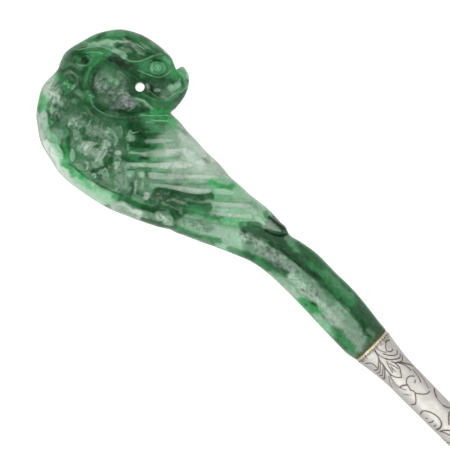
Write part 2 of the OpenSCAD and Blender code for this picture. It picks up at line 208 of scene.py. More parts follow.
# Carved shapes: height in mm, below zero for a hollow flute, and tint, strength and how much
# it pales towards the wing's edge, then the outline in percent of the bird
CARVED_SHAPES = [
    # Flutes between the long feathers
    (-0.25, "mist", 0.7, 0.8, (43, 45.4), (46.5, 45.9), (51.5, 45.9), (55.2, 45), (52, 43.9), (47.5, 43.4),
     (43.2, 43.6)),
    (-0.32, "mist", 0.9, 0.9, (41, 38.6), (45, 40.2), (50, 40.8), (55, 41.2), (58.5, 41.7), (59.8, 40.8),
     (59.4, 39.2), (56.6, 38.4), (54, 37), (49, 36.5), (44.6, 36.8), (41.4, 37.4)),
    (-0.32, "pearl", 0.8, 0.5, (36.2, 33), (39.4, 34.2), (45, 34), (52, 34.6), (57.6, 35.1), (60.4, 34.2),
     (61.9, 33), (60.6, 31.4), (56, 30.6), (50, 30.9), (44, 31.6), (38.6, 31.9)),
    (-0.2, "milk", 0.75, 0.5, (63.2, 35.4), (65.6, 36), (67, 34.6), (67.4, 33), (64.8, 32.6), (63, 33.4)),
    (-0.32, "pearl", 0.75, 0.35, (44.6, 29.8), (50, 29.2), (58, 28.5), (66, 28.5), (71.6, 27.7), (72, 26.6),
     (68, 25.9), (60, 25.7), (52, 25.6), (45.4, 26.1), (44.2, 27.6)),
    (-0.32, "pearl", 0.7, 0.2, (46.8, 24.2), (50, 23.9), (57, 22.9), (63, 22), (68.6, 21.4), (69.2, 20),
     (67.4, 18.9), (62, 18.7), (57.4, 19.8), (52, 21.4), (48, 22), (46, 22.6)),
    (-0.28, "mint", 0.8, 0.4, (69.8, 21.4), (72.6, 21.8), (76, 21.2), (78.2, 19.6), (77.6, 18.4), (74, 18.1),
     (70.6, 18.7)),
    (-0.15, "mist", 0.5, 0, (58.6, 17), (60.6, 16.8), (64, 15.3), (68.4, 15.2), (68.2, 14), (64.6, 14.2),
     (60, 15.2)),
    (-0.3, "pearl", 0.85, 0.1, (70, 15.1), (75, 15), (80, 14.6), (84.6, 13.6), (85.4, 12.4), (82, 11.8),
     (76, 12.1), (71.4, 12.5)),
    (-0.3, "pearl", 0.85, 0.2, (69.6, 10.2), (76, 9.8), (81, 9.2), (84.8, 8.9), (85.2, 6.5), (80, 6.9),
     (74.6, 7.6), (71, 8.2)),
    (-0.25, "mint", 0.9, 0.5, (85.6, 8), (87.6, 8.1), (90, 5.4), (91.4, 3.2), (90, 3.4), (87.6, 5),
     (85.8, 6.2)),
    # Small hollows at the wing's root
    (-0.22, "mint", 0.75, 0, (40.4, 29.9), (42.7, 29.7), (42.8, 27), (41.2, 26.7), (40.2, 28.2)),
    (-0.22, "mint", 0.7, 0, (36.2, 30.4), (38.8, 30.3), (38.9, 27), (37, 26.7), (36, 28.4)),
    (-0.2, "pearl", 0.7, 0, (38.8, 25.6), (40, 25.2), (39.8, 21.6), (39.4, 18.8), (38.4, 19.6),
     (38.8, 22.4)),
    (-0.2, "mint", 0.6, 0, (41.2, 24.8), (42.8, 24.4), (42.6, 21.6), (41.4, 21.2)),
    (-0.2, "mint", 0.6, 0, (44.8, 24.4), (46.4, 24.2), (48.6, 23), (47, 21.4), (45, 21.6)),
    (-0.25, "pearl", 0.85, 0, (43, 19.8), (44.6, 19.6), (45, 17.8), (44.2, 16), (42.8, 15.9), (42.2, 17.4)),
    # Raised feathers of the shoulder
    (0.35, "pearl", 0.7, 0.1, (24.3, 43.4), (22.8, 41.8), (21.6, 40.2), (20.6, 38), (19.2, 37.6),
     (18.6, 40.2), (19, 42.6), (20.4, 44.4), (22.2, 44.2)),
    (0.4, "pearl", 0.65, 0.1, (27.6, 45.8), (29.6, 44.4), (29.8, 42.6), (28.6, 41.6), (28.8, 40.4),
     (27.4, 37), (26.2, 35.6), (24, 34.4), (23.2, 35.6), (24.4, 38.2), (25.8, 41.4), (26.6, 44.2)),
    (0.25, "mint", 0.7, 0, (14.2, 41.4), (15.4, 40.2), (15.8, 37), (15, 34.6), (13.8, 34.8), (13.2, 37.4),
     (13.6, 40.2)),
    (0.3, "pearl", 0.65, 0.1, (30.6, 38.2), (31.4, 40), (33.2, 40.4), (34.2, 39), (33, 37.6)),
    (0.28, "mint", 0.7, 0.2, (30.8, 34.8), (33.6, 34.6), (32.8, 32.6), (31.8, 30.6), (30.8, 30.8),
     (30.8, 33)),
    (0.25, "pearl", 0.65, 0, (19, 34.8), (21, 34.8), (21.2, 33.2), (20.6, 30.6), (19.6, 30.8), (20, 33)),
    (0.22, "mist", 0.7, 0, (15.8, 33.6), (17.6, 34.2), (19.2, 32.2), (18.8, 30.8), (17, 31.6)),
    (0.22, "mist", 0.7, 0, (26.2, 30.2), (27.6, 31.4), (28.6, 30.6), (28, 28.6), (27, 27.6), (25.8, 28.2)),
    (0.22, "mist", 0.7, 0, (21.6, 28), (23.4, 29), (24.2, 27.6), (23.4, 26), (22, 26.6)),
    (0.2, "mist", 0.75, 0.2, (31, 27.8), (33.6, 29.4), (34.4, 26.8), (33.8, 23.6), (31.6, 22.8), (30.6, 25)),
    (0.28, "mint", 0.5, 0, (36.2, 48.6), (38.6, 49.2), (40.4, 49.6), (40.2, 48.8), (38, 48.2), (39, 46.4),
     (37.8, 44.6), (36.4, 45.6)),
    (0.25, "mist", 0.7, 0, (15.2, 51), (17.4, 50.6), (17.8, 48), (17.2, 45.4), (15.6, 44.8), (14.6, 47.4)),
    (0.22, "mist", 0.6, 0, (12.6, 54.6), (14.2, 55.2), (14.4, 53.2), (13.2, 50.8), (12.4, 51.8)),
    (0.28, "mist", 0.5, 0, (13, 57.6), (16, 58.2), (18, 57.4), (17.4, 55.4), (14.6, 55)),
    (0.25, "mint", 0.45, 0, (26.8, 49), (28.2, 51.2), (30.2, 49.8), (31.8, 47.4), (32, 45.2), (31.2, 42.6),
     (30.6, 43), (31, 45.6), (29.8, 47.8), (28.6, 48.2)),
    (0.2, "mist", 0.5, 0, (20.6, 55), (21.6, 54.8), (22.4, 51.8), (21.4, 52.2)),
    (0.22, "mint", 0.6, 0, (8.2, 67.2), (9.6, 67.6), (10.2, 65.8), (9.2, 64.4), (8.4, 65.4)),
    (0.22, "pearl", 0.6, 0, (6.2, 65.4), (7.6, 66.2), (8.2, 63.4), (7.4, 62.2), (6.4, 63.2)),
    (0.2, "mist", 0.6, 0, (14.4, 72.6), (15.8, 72), (15.2, 70.6), (14.2, 68.8), (13.6, 70)),
    (0.2, "mist", 0.5, 0, (16, 68.6), (17.6, 68.4), (19, 67), (18.2, 66), (16.4, 66.8)),
    (0.2, "mist", 0.5, 0, (13.6, 65.2), (15.4, 65.8), (15.8, 64), (14.4, 62.8)),
    (0.2, "mint", 0.6, 0, (5.6, 62.4), (7.4, 61.6), (8, 59.8), (6.6, 58), (5.4, 58.8)),
    # Pale patch on the belly and the bright face inside the wing's tip
    (0.15, "pearl", 0.2, 0, (47, 9.5), (51.4, 9), (53, 7.6), (52.4, 5.6), (52.8, 3.4), (50.8, 3.6),
     (48.6, 5.6), (47.6, 7.6)),
    (-0.2, "ash", 0.8, 0.3, (91.2, 5.6), (93.6, 4.2), (97, 0.5), (94.6, 0.4), (91.2, 1.6), (90, 3)),
]

# How far in from their outline the shapes' height and tint fade, in mm
SHAPE_EDGE = 0.35
TINT_EDGE = 0.2
# A dark line of painted shade runs round each shape: half width in mm, and strength round raised and hollow
# ones
SHADE_RING_HALF = 0.26
RAISED_SHADE_RING = 0.7
HOLLOW_SHADE_RING = 0.22

# Hollows and swells: middle in percent of the bird, half sizes in mm, turn, height in mm and flat share
SWELLS = [
    (47.7, 80.8, 2.9, 1.7, -4, 0.75, 0.2),
    (19.4, 84.2, 1, 0.8, -20, -0.7, 0.2),
    (30.5, 71, 4.2, 3.9, 0, -0.6, 0.7),
    (37, 62.5, 4, 2, -10, -0.35, 0.6),
    (47.5, 69.8, 3.4, 1.6, 5, -0.4, 0.5),
]
# The eye's middle in percent of the bird, its half sizes in mm, and the rings cut inside it
EYE_MIDDLE = (47.7, 80.8)
EYE_HALF = (2.9, 1.7)
EYE_RINGS = 3
EYE_RING_RISE = 0.07
# Middle of the drilled hole, in percent of the bird
HOLE_AT = (41.0, 71.2)

# Colour laid into the stone, stroke over stroke: tint, half width in mm, strength, then places in percent
# of the bird. The neck lies past 90 percent.
STONE_STROKES = [
    # Head: crown, crest and comb
    ("bottle", 7, 1, (18, 84), (46, 80)),
    ("green", 1.7, 0.9, (20, 94), (30, 97.5), (40, 95.5), (47, 92), (51, 87)),
    ("leaf", 0.7, 0.4, (29, 98), (34, 97.5)),
    ("emerald", 0.5, 0.7, (23.2, 97), (22.6, 93.5)),
    ("deep", 0.45, 0.8, (24.3, 94.6), (25.2, 96), (26.8, 97.8)),
    ("mist", 0.8, 0.6, (11.5, 87.5), (14, 90.5), (18, 93)),
    ("mint", 0.55, 0.85, (19, 91.6), (24, 92.3), (28, 93.6), (30.6, 92)),
    ("mint", 0.8, 0.6, (27.5, 92.8), (30, 91.6)),
    ("mint", 0.5, 0.75, (30.5, 88.9), (33.5, 88), (35, 85.8)),
    ("mist", 0.4, 0.6, (33, 90), (36, 88.6)),
    ("bottle", 0.5, 0.8, (31, 91.6), (35.5, 91.2)),
    ("mint", 0.3, 0.5, (31, 93.4), (35, 93)),
    ("ash", 0.65, 0.95, (35.4, 93.8), (38, 91.8), (39.8, 89.6)),
    ("smoke", 0.25, 0.7, (36.2, 92), (38.4, 89.6)),
    ("ash", 0.3, 0.6, (36, 89.8), (37.5, 88.5)),
    ("deep", 0.4, 0.85, (35.3, 95.7), (38, 94), (41.5, 91.8)),
    ("mist", 0.25, 0.8, (39.8, 92.4), (41.5, 90.6)),
    ("mist", 0.25, 0.7, (41, 92.9), (44, 89.9)),
    ("leaf", 0.3, 0.6, (41.4, 88.2), (42.4, 86.8)),
    ("mist", 0.6, 0.4, (43, 90), (46, 88.6)),
    ("deep", 0.35, 0.8, (44, 87.9), (48.5, 87)),
    ("mist", 0.9, 0.6, (46, 93.4), (49.5, 90)),
    ("smoke", 0.7, 0.7, (41.5, 96.8), (44.2, 94.3)),
    ("deep", 0.25, 0.8, (36, 99), (41, 97.6), (45.3, 95.2)),
    ("bottle", 0.6, 0.6, (47.6, 90), (51.4, 86.4)),
    # Ear and nape
    ("green", 1.2, 0.85, (20, 88.6), (27.5, 88)),
    ("emerald", 0.5, 0.4, (22, 86.6), (26, 86.8)),
    ("deep", 0.5, 0.85, (16.8, 86.8), (21, 86.5)),
    ("ink", 0.5, 0.85, (18.3, 84.6), (20.4, 83.7)),
    ("mist", 0.22, 0.7, (16.8, 82), (20, 81.6), (21.6, 83.6)),
    ("green", 0.6, 0.6, (15.6, 86), (17, 85)),
    ("mist", 1, 0.6, (12, 87.5), (11.4, 82)),
    ("smoke", 0.9, 0.7, (14, 88), (13.6, 83)),
    ("mist", 0.6, 0.4, (14, 82), (17, 80.4)),
    ("deep", 0.6, 0.75, (15, 87.3), (18, 89.4), (19.4, 91)),
    ("deep", 0.6, 0.75, (14, 80), (18.5, 77.6)),
    ("smoke", 0.8, 0.7, (17.5, 75.5), (18, 73)),
    ("smoke", 0.9, 0.6, (11.5, 76.4), (14, 75.6)),
    ("ash", 0.3, 0.6, (12, 78), (14, 78.2), (16, 76.2)),
    ("green", 0.8, 0.9, (8.2, 77), (10.2, 76)),
    ("deep", 0.8, 0.75, (20, 80.5), (18.8, 75), (19.4, 70), (17.6, 68)),
    # Cheek rim, the cheek's rough pocket and the dark hollow round it, whose dark is painted shade
    ("green", 0.7, 0.85, (28, 87), (23.6, 84), (21, 79), (20, 73), (20.6, 68), (22, 63.5), (24, 60.5)),
    ("emerald", 0.3, 0.45, (27, 85.5), (23, 82), (21, 77.5)),
    ("deep", 0.8, 0.95, (23.8, 79.5), (21.9, 74.5), (22, 70.5), (24.6, 66.2), (25.6, 61.8), (30, 59.6)),
    ("smoke", 3.6, 0.9, (27.5, 71.5), (33, 67.5)),
    ("mist", 2.4, 0.25, (27, 75), (33, 69)),
    ("ash", 0.9, 0.5, (23.8, 73.8), (26, 71.3)),
    ("mist", 1.2, 0.65, (27.5, 76), (31, 73.8)),
    ("leaf", 0.5, 0.4, (28.6, 74.5), (31, 73.8)),
    ("smoke", 0.25, 0.8, (26.4, 75.4), (27.2, 73.4)),
    ("green", 0.5, 0.5, (28, 80), (30.4, 78.4)),
    ("mist", 0.6, 0.5, (33, 77.5), (36, 73.5)),
    ("mist", 0.8, 0.25, (26.5, 68), (27, 66)),
    ("smoke", 0.4, 0.7, (31, 72.5), (32.6, 70.6)),
    ("smoke", 0.5, 0.6, (28, 70), (28.6, 66.6)),
    ("lilac", 0.7, 0.45, (29.6, 69), (31, 65.6)),
    ("smoke", 1, 0.5, (28, 66), (31.6, 63.4)),
    ("ash", 0.6, 0.3, (25.4, 64.8), (28, 64.5)),
    ("bottle", 0.5, 0.6, (25.6, 61.4), (29.6, 61)),
    ("lilac", 0.8, 0.5, (31, 62), (33.6, 62)),
    ("lilac", 1.2, 0.95, (34.8, 66.5), (36.5, 63.2), (38.5, 62)),
    ("ash", 0.5, 0.55, (34.4, 70), (36.6, 66.4)),
    ("deep", 1, 0.85, (38.4, 76), (37.8, 71), (38.4, 67.6)),
    ("smoke", 1, 0.6, (35.6, 73.6), (36, 69)),
    ("bottle", 0.7, 0.8, (43.6, 66), (46.8, 63.4)),
    ("bottle", 0.9, 0.8, (41, 67.5), (44, 66)),
    # Painted shadow under the brow, then painted shade in the hollow inside the cheek rim
    ("ink", 1, 0.95, (30.2, 84.2), (34, 82.2), (37.6, 80)),
    ("deep", 0.9, 0.9, (37, 79.6), (41, 77), (45, 75)),
    ("deep", 0.5, 0.95, (24.2, 81), (22.9, 77.6), (22.2, 74.4), (22.2, 71)),
    ("ink", 0.35, 0.85, (22, 71.6), (22.4, 69.2), (24, 67.2)),
    ("deep", 0.55, 0.95, (24, 66), (23.8, 63.8), (25.2, 61.4), (27.4, 60)),
    # Painted highlight on the cheek rim
    ("leaf", 0.3, 0.6, (21.6, 66.9), (22.6, 66.3)),
    ("bottle", 0.6, 0.6, (27.4, 82.6), (32, 80.6)),
    ("ink", 0.4, 0.85, (31.5, 59.6), (34.8, 58.9), (38, 59.8)),
    ("deep", 0.5, 0.9, (38, 60.2), (44, 60.3)),
    # Eye and beak
    ("green", 1.7, 0.85, (43.5, 80.5), (51.5, 80.5)),
    ("leaf", 0.8, 0.3, (47, 81.4), (49.5, 80.6)),
    ("deep", 0.4, 0.95, (46.8, 84.4), (48.8, 84)),
    # Painted highlights in the eye
    ("mint", 0.14, 0.6, (46.1, 82.3), (45.7, 80.5), (46, 79)),
    ("mint", 0.14, 0.75, (48.1, 81), (48.1, 80)),
    ("mist", 0.14, 0.6, (50.4, 82.5), (51, 80.5), (50.6, 79)),
    ("mist", 0.5, 0.35, (52, 82), (53.6, 80)),
    ("green", 1, 0.9, (51.8, 84.6), (54, 80.5)),
    ("leaf", 0.4, 0.5, (50.6, 85.4), (53, 82.8)),
    ("bottle", 0.9, 0.9, (44, 76), (50, 75), (54, 76.4)),
    ("deep", 0.5, 0.9, (44.5, 74.4), (50.5, 74.4)),
    ("green", 1.2, 0.9, (53.6, 77.4), (57.4, 77.4)),
    ("emerald", 0.7, 0.6, (54.6, 79.4), (56.4, 76.8)),
    ("leaf", 0.8, 0.8, (57.6, 79.6), (59.4, 76.6)),
    ("mint", 0.35, 0.7, (57, 81), (59.6, 79.6), (60.4, 76)),
    # Painted highlight on the beak by the mouth
    ("mint", 0.7, 0.7, (52.6, 71.1), (55, 71.4), (56.4, 73.5)),
    ("mist", 0.6, 0.6, (53.6, 69.4), (57, 70)),
    ("deep", 0.4, 0.75, (57.5, 74), (58.9, 73)),
    ("green", 0.5, 0.8, (55, 68.6), (58.4, 71.2)),
    ("leaf", 0.4, 0.5, (58.6, 74.6), (59.8, 71.4)),
    ("ink", 1, 0.65, (43.5, 71.5), (46, 69.5), (50, 69.6)),
    ("smoke", 1.1, 0.7, (44, 72.6), (50, 72)),
    ("ash", 0.28, 0.8, (43.9, 72.2), (44.5, 70.6)),
    ("mist", 0.4, 0.9, (47.2, 69.2), (48.4, 69.8)),
    ("deep", 0.6, 0.6, (46, 67), (49.6, 66.4)),
    ("ink", 0.5, 0.75, (45.6, 71.4), (46.2, 68.8), (48.8, 67.2)),
    ("mist", 1.4, 0.5, (51.4, 67.6), (54.4, 66)),
    ("mist", 0.8, 0.45, (50.5, 65), (52, 64.2)),
    ("green", 1.2, 0.75, (47.5, 63), (53.5, 62)),
    ("emerald", 0.6, 0.5, (50, 59.6), (53, 59)),
    ("smoke", 0.6, 0.6, (55, 65), (56.6, 65)),
    ("mist", 0.4, 0.75, (39.4, 65.3), (42.2, 64.4), (44, 62.3), (45.6, 60.5)),
    ("mint", 0.18, 0.6, (40.4, 65.5), (42.4, 64.5), (44, 62.6)),
    # Breast
    ("mist", 3.4, 0.6, (7, 68), (7, 60)),
    ("bottle", 2.2, 0.7, (14.5, 69), (16.6, 63.4)),
    ("pearl", 1.9, 0.85, (5, 74), (4.6, 70), (3.5, 67)),
    ("mist", 0.9, 0.5, (8, 73.5), (8.6, 69)),
    ("green", 0.9, 0.5, (11.5, 73), (12.6, 69.5)),
    ("emerald", 1, 0.8, (1.6, 67.3), (2.2, 61.5)),
    ("leaf", 1, 0.5, (3.4, 64), (4, 60)),
    ("pearl", 0.8, 0.7, (7.6, 67), (9.2, 64)),
    ("mint", 0.3, 0.7, (8.6, 67), (9.6, 64.6)),
    ("smoke", 1.2, 0.6, (13.5, 66.5), (16, 63)),
    ("leaf", 0.3, 0.6, (12, 72.6), (13.5, 72)),
    ("mint", 0.25, 0.6, (15.4, 71.8), (14.4, 70)),
    ("mist", 0.7, 0.55, (16.5, 68.4), (18.5, 67)),
    ("mist", 0.6, 0.5, (13.6, 64.6), (15.5, 64)),
    ("green", 0.5, 0.6, (10.8, 70), (12, 66.5)),
    ("bottle", 1.6, 0.8, (12, 60), (23, 60)),
    ("mint", 0.3, 0.7, (4.6, 60.5), (6.6, 60.4)),
    ("mint", 0.25, 0.6, (5.6, 58.6), (7, 61)),
    ("milk", 0.9, 0.6, (0.3, 58), (0.5, 53), (2.2, 46)),
    ("pearl", 0.9, 0.75, (3, 57), (3.4, 50), (4.4, 45)),
    ("mint", 0.5, 0.5, (4.4, 55), (4.8, 50)),
    ("bottle", 1.4, 0.75, (7.4, 58.5), (8.6, 54), (10.4, 51)),
    ("bottle", 1.3, 0.55, (10.6, 65), (12.4, 61), (12.4, 57)),
    ("smoke", 0.7, 0.7, (9, 58.5), (9.4, 54)),
    ("green", 0.5, 0.5, (6, 56), (6.4, 51.6)),
    ("mist", 1.3, 0.85, (6.2, 47.6), (10.2, 46.4)),
    ("mint", 0.7, 0.6, (5.4, 48.2), (7.4, 46)),
    # Shoulder and its feathers
    ("mist", 3.4, 0.5, (15, 53), (26, 48), (32, 44)),
    ("mist", 3, 0.4, (18, 42), (24, 36), (30, 32)),
    ("bottle", 1, 0.7, (20.6, 57), (24.5, 54)),
    ("green", 0.7, 0.65, (11.6, 51), (12.6, 46)),
    ("bottle", 0.8, 0.75, (18.8, 50), (20, 46.4)),
    ("bottle", 0.7, 0.7, (21, 46), (25.6, 45.4)),
    ("green", 0.8, 0.6, (17.4, 42), (17.4, 36)),
    ("bottle", 0.9, 0.8, (24.4, 42.6), (22.4, 38.4), (21.6, 35.6)),
    ("ash", 0.9, 0.5, (14, 54.6), (18, 53.4)),
    ("ash", 1.2, 0.5, (23.5, 50), (27.5, 48.5)),
    ("mist", 0.6, 0.5, (14, 57), (17, 57)),
    ("bottle", 1.2, 0.6, (23.5, 55), (28, 52.6)),
    ("bottle", 1, 0.8, (33.4, 54), (34, 47), (35, 43)),
    ("smoke", 0.9, 0.6, (31.4, 41), (33, 44)),
    ("mist", 0.5, 0.5, (32.6, 51), (33.2, 47)),
    ("deep", 0.7, 0.6, (12.4, 46), (12.8, 41)),
    ("leaf", 0.7, 0.5, (7.4, 45.4), (9, 43.4)),
    ("mist", 1.1, 0.6, (16, 33.6), (23, 32.6)),
    ("mist", 1.2, 0.5, (20.6, 43), (21.6, 38)),
    ("mist", 1, 0.5, (20, 30), (26, 25.4), (31, 22)),
    ("emerald", 0.7, 0.7, (11.2, 43), (12, 38), (12.8, 34.5)),
    # The pale band along the breast's rim is partly pale stone and partly a painted highlight
    ("milk", 1.4, 0.95, (4.5, 42), (7, 37.6), (10.5, 31.5)),
    ("mint", 0.7, 0.8, (7.4, 42.5), (10, 37), (10.8, 34)),
    ("leaf", 1.1, 0.9, (12.2, 33.5), (15.8, 28.4), (19.4, 25.4)),
    ("emerald", 0.6, 0.75, (12, 33.5), (14, 30)),
    ("emerald", 0.65, 0.9, (18.2, 27.3), (20.4, 24.2)),
    ("pearl", 1, 0.9, (10.6, 28.6), (15, 22.8), (20, 18.4), (26, 14.6)),
    ("milk", 0.6, 0.6, (10.6, 28.6), (15, 22.8), (20, 18.4), (25, 15.2)),
    ("mint", 0.7, 0.8, (15.5, 26), (19.5, 22)),
    ("deep", 0.6, 0.85, (29.6, 38), (28.8, 33.6), (25.5, 31.4), (22.6, 29.6)),
    ("bottle", 0.7, 0.7, (34.4, 36.4), (35.6, 34.6)),
    ("bottle", 0.7, 0.7, (26.8, 34.6), (28.4, 36.6)),
    ("smoke", 0.7, 0.5, (24.5, 27.4), (28, 26)),
    ("mist", 1.6, 0.85, (33.8, 31), (34.8, 22)),
    ("mist", 0.7, 0.6, (26, 30), (30, 25)),
    ("green", 0.5, 0.55, (29.6, 29), (30.4, 23)),
    ("smoke", 0.8, 0.55, (33, 20), (38, 18)),
    ("mist", 1.6, 0.7, (40, 29), (43.4, 21.6)),
    # Wing: dark root, green top and pale far edge
    ("pearl", 6.5, 1, (60, 42), (72, 27), (82, 14)),
    ("mist", 5.5, 0.34, (60, 44), (70, 30), (80, 20)),
    ("leaf", 3, 0.6, (82, 17), (88, 10)),
    ("pearl", 1, 0.35, (64, 40), (74, 30)),
    ("mist", 2, 0.8, (46, 34), (58, 28), (66, 23)),
    ("pearl", 1.3, 0.45, (52, 30), (60, 28.4), (68, 26.4)),
    ("green", 2.4, 0.6, (44, 38), (48, 30)),
    ("green", 2.2, 0.9, (43.5, 54), (51.5, 54)),
    ("emerald", 0.9, 0.8, (46, 58), (52, 57)),
    ("emerald", 0.8, 0.5, (51, 55), (54, 52)),
    ("leaf", 0.9, 0.75, (54, 54.5), (55.6, 51.5)),
    ("mist", 1.4, 0.7, (48, 49), (54, 47.6)),
    ("mist", 1, 0.55, (48, 43), (55, 43)),
    ("bottle", 1.3, 0.85, (42.5, 50), (46.6, 47.6)),
    ("green", 0.6, 0.6, (46, 50.6), (50, 49.6)),
    ("deep", 1.6, 1, (38.2, 57.4), (39.2, 51.5), (41.6, 48)),
    ("bottle", 1, 0.8, (37.6, 42), (41.6, 43.6)),
    ("green", 0.9, 0.5, (37, 39), (40, 38)),
    ("smoke", 0.5, 0.5, (42, 55.5), (42.6, 52)),
    ("mist", 0.2, 0.6, (43.6, 54), (46.6, 53.6)),
    ("deep", 0.7, 0.95, (37.6, 43.4), (46.6, 42.4)),
    ("green", 0.7, 0.7, (46.4, 42.6), (49.4, 42.4)),
    ("smoke", 0.7, 0.7, (41, 39), (43.6, 38.6)),
    ("deep", 0.4, 0.8, (41.3, 36.3), (44, 36.4)),
    ("green", 0.4, 0.7, (45, 35.9), (56, 36.4)),
    ("green", 0.4, 0.6, (44, 31), (53, 30)),
    ("mist", 0.4, 0.2, (53, 30), (66, 29.2)),
    ("leaf", 2.2, 0.85, (71, 18.5), (84, 11), (74, 6)),
    ("mist", 1.6, 0.5, (71, 18.5), (86, 11)),
    ("leaf", 1.6, 0.6, (70, 24), (80, 21)),
    ("emerald", 0.5, 0.85, (68.4, 24), (72, 23), (73.8, 22.2)),
    ("green", 0.5, 0.7, (72.6, 22), (76.4, 22)),
    ("emerald", 0.5, 0.75, (76, 22.4), (78.2, 23.2)),
    ("mist", 0.5, 0.7, (44, 25.2), (58, 24.6), (67, 23.8)),
    ("green", 0.35, 0.4, (60, 24.4), (67, 23.6)),
    ("deep", 1.2, 0.9, (49, 20.6), (54, 18.9), (59, 17.9)),
    ("bottle", 1, 0.95, (58, 17.6), (64, 17.4), (68.4, 17.4)),
    ("smoke", 1.8, 0.9, (48, 17.5), (52, 15), (58, 14)),
    ("bottle", 0.9, 0.9, (59, 14), (68, 12.4)),
    ("deep", 0.35, 0.7, (62, 18.4), (65.4, 17.4), (66, 16)),
    ("deep", 0.9, 0.85, (53.5, 11), (56, 10.4)),
    ("deep", 0.9, 0.8, (58.6, 10), (61, 8.8)),
    ("bottle", 1, 0.9, (41, 15), (48, 13), (52, 12)),
    ("mist", 0.6, 0.4, (49.4, 11), (51.4, 10)),
    ("mist", 0.35, 0.6, (56.8, 11.8), (57.2, 9.6)),
    ("mist", 0.3, 0.7, (52, 15.6), (54.4, 16.4)),
    ("ash", 0.3, 0.5, (55, 15.6), (58.6, 14.6)),
    ("mist", 0.14, 0.5, (50, 13.6), (53, 12.8), (56, 11.2)),
    ("leaf", 0.4, 0.85, (70.6, 20.6), (70.7, 10.6)),
    ("green", 1, 0.9, (61, 11), (66, 8.6), (73, 6)),
    ("emerald", 0.6, 0.45, (68.5, 7), (72, 5.6)),
    ("leaf", 0.8, 0.6, (74, 6.2), (79.5, 4.8)),
    ("green", 0.6, 0.7, (80.6, 4), (84, 4)),
    ("bottle", 0.9, 0.8, (84, 3.6), (88, 2.6)),
    ("green", 0.6, 0.85, (90, 9.6), (91.6, 7.4)),
    ("ash", 0.6, 0.9, (91, 4.6), (94, 2.6), (96.6, 0.8)),
    # Belly below the wing: its pale band along the rim is partly pale stone and partly a painted highlight
    ("mint", 1.6, 1, (20, 22.5), (25, 19), (30, 17)),
    ("leaf", 0.6, 0.5, (24, 21.8), (29, 20)),
    ("emerald", 0.7, 0.75, (30.8, 18.4), (32.6, 15.6)),
    ("green", 0.9, 0.75, (33.6, 16.6), (41, 13.8)),
    ("bottle", 0.6, 0.7, (33.6, 16.2), (41.6, 13.4)),
    ("pearl", 1.5, 0.85, (31.5, 11.6), (36, 9.8), (41, 7.6)),
    ("mist", 0.8, 0.6, (32, 10), (38, 7.6)),
    ("milk", 0.5, 0.5, (37, 11.2), (41, 9.4)),
    ("deep", 0.7, 0.85, (42.4, 13), (45, 11.4), (50, 10.4)),
    ("mist", 0.9, 0.75, (43, 9), (47, 7.4)),
    ("mist", 1.3, 0.8, (48.6, 8), (51, 6.6), (52, 4.6)),
    ("pearl", 0.9, 0.45, (48.4, 8.2), (51, 6.6), (52, 4.6)),
    ("mist", 0.6, 0.6, (52, 8), (54.4, 5.6)),
    ("bottle", 0.5, 0.85, (42, 6.4), (46, 4.4), (48.5, 2.8)),
    ("green", 0.4, 0.75, (50, 3), (54, 1.4)),
    ("bottle", 0.5, 0.6, (55, 7), (56, 3)),
    ("mint", 2.3, 0.85, (60, 3), (70, 1), (79, -4)),
    ("pearl", 2, 0.4, (66, 1), (79, -4)),
    ("mist", 2, 0.28, (66, 1), (79, -4)),
    ("mist", 1.4, 0.75, (57.6, 5), (62, 3.8), (68, 3)),
    ("green", 0.8, 0.8, (56.5, 0.6), (63, -1.6)),
    ("mint", 0.5, 0.7, (71, -5.6), (77, -7.6)),
    ("green", 0.9, 0.9, (55.5, -0.3), (61, -1.8), (67, -3.4), (71.4, -4.6)),
    ("bottle", 0.3, 0.7, (56, 0.4), (61, -1.2), (65, -2.2)),
    ("mist", 0.35, 0.6, (66, -3.2), (68, -5)),
    ("mint", 0.6, 0.7, (71, -6.8), (75, -8)),
    ("green", 0.6, 0.75, (76, -7.6), (80, -9.4), (85, -11.2)),
    ("bottle", 0.7, 0.75, (82, -11), (86, -12.8), (92, -16)),
    ("mint", 0.9, 0.6, (78, -1.4), (84, -6)),
    ("ash", 0.7, 0.75, (81.5, -1.4), (85.5, -3)),
    ("mist", 1.2, 0.8, (83, -5.5), (88, -8)),
    ("bottle", 0.8, 0.9, (81.4, 1.4), (86, 1.4), (91, 0.2)),
    # Neck
    ("bottle", 4.6, 1, (98, -6), (110, -17), (124, -33), (134, -47)),
    ("smoke", 1.3, 0.8, (87.5, -1.6), (95, -4), (98, -6.6)),
    ("mist", 1, 0.6, (99.4, -2.8), (104, -6.4), (109.6, -11)),
    ("green", 1, 0.7, (101, -5.6), (105, -9)),
    ("mist", 0.6, 0.6, (98.8, -3.6), (101, -6)),
    ("ash", 0.4, 0.4, (102, -8.4), (104, -9.6)),
    ("smoke", 0.8, 0.7, (104.5, -11), (109.5, -16)),
    ("green", 1.7, 0.75, (110.5, -15.5), (117, -23), (124, -33)),
    ("mist", 0.9, 0.3, (113, -17), (119, -25), (124, -31)),
    ("smoke", 1.4, 0.8, (128, -37), (132, -43), (136.5, -48.5)),
    ("bottle", 0.7, 0.8, (104, -5.6), (112, -13), (120, -22), (128, -32), (134, -40)),
    ("bottle", 0.9, 0.7, (105, -8), (110, -13), (113, -17)),
    ("pearl", 1.1, 0.75, (93.6, -20.5), (98.6, -26.5), (104, -33)),
    ("mist", 0.8, 0.5, (95, -21), (100, -26)),
    ("mint", 1, 0.5, (97, -22), (103, -29), (106, -32)),
    # The neck's long pale band, with the pearl and mist strokes after it: partly unpolished stone and partly
    # a painted reflection of the soft box
    ("mist", 2, 1, (88, -7), (94, -12), (100.6, -19), (108, -27.4), (115.6, -37), (123, -46.8),
     (128.4, -56)),
    ("pearl", 1, 0.6, (100, -21), (106, -28), (113, -37), (119, -45)),
    ("mist", 0.7, 0.4, (99, -16.6), (104, -22)),
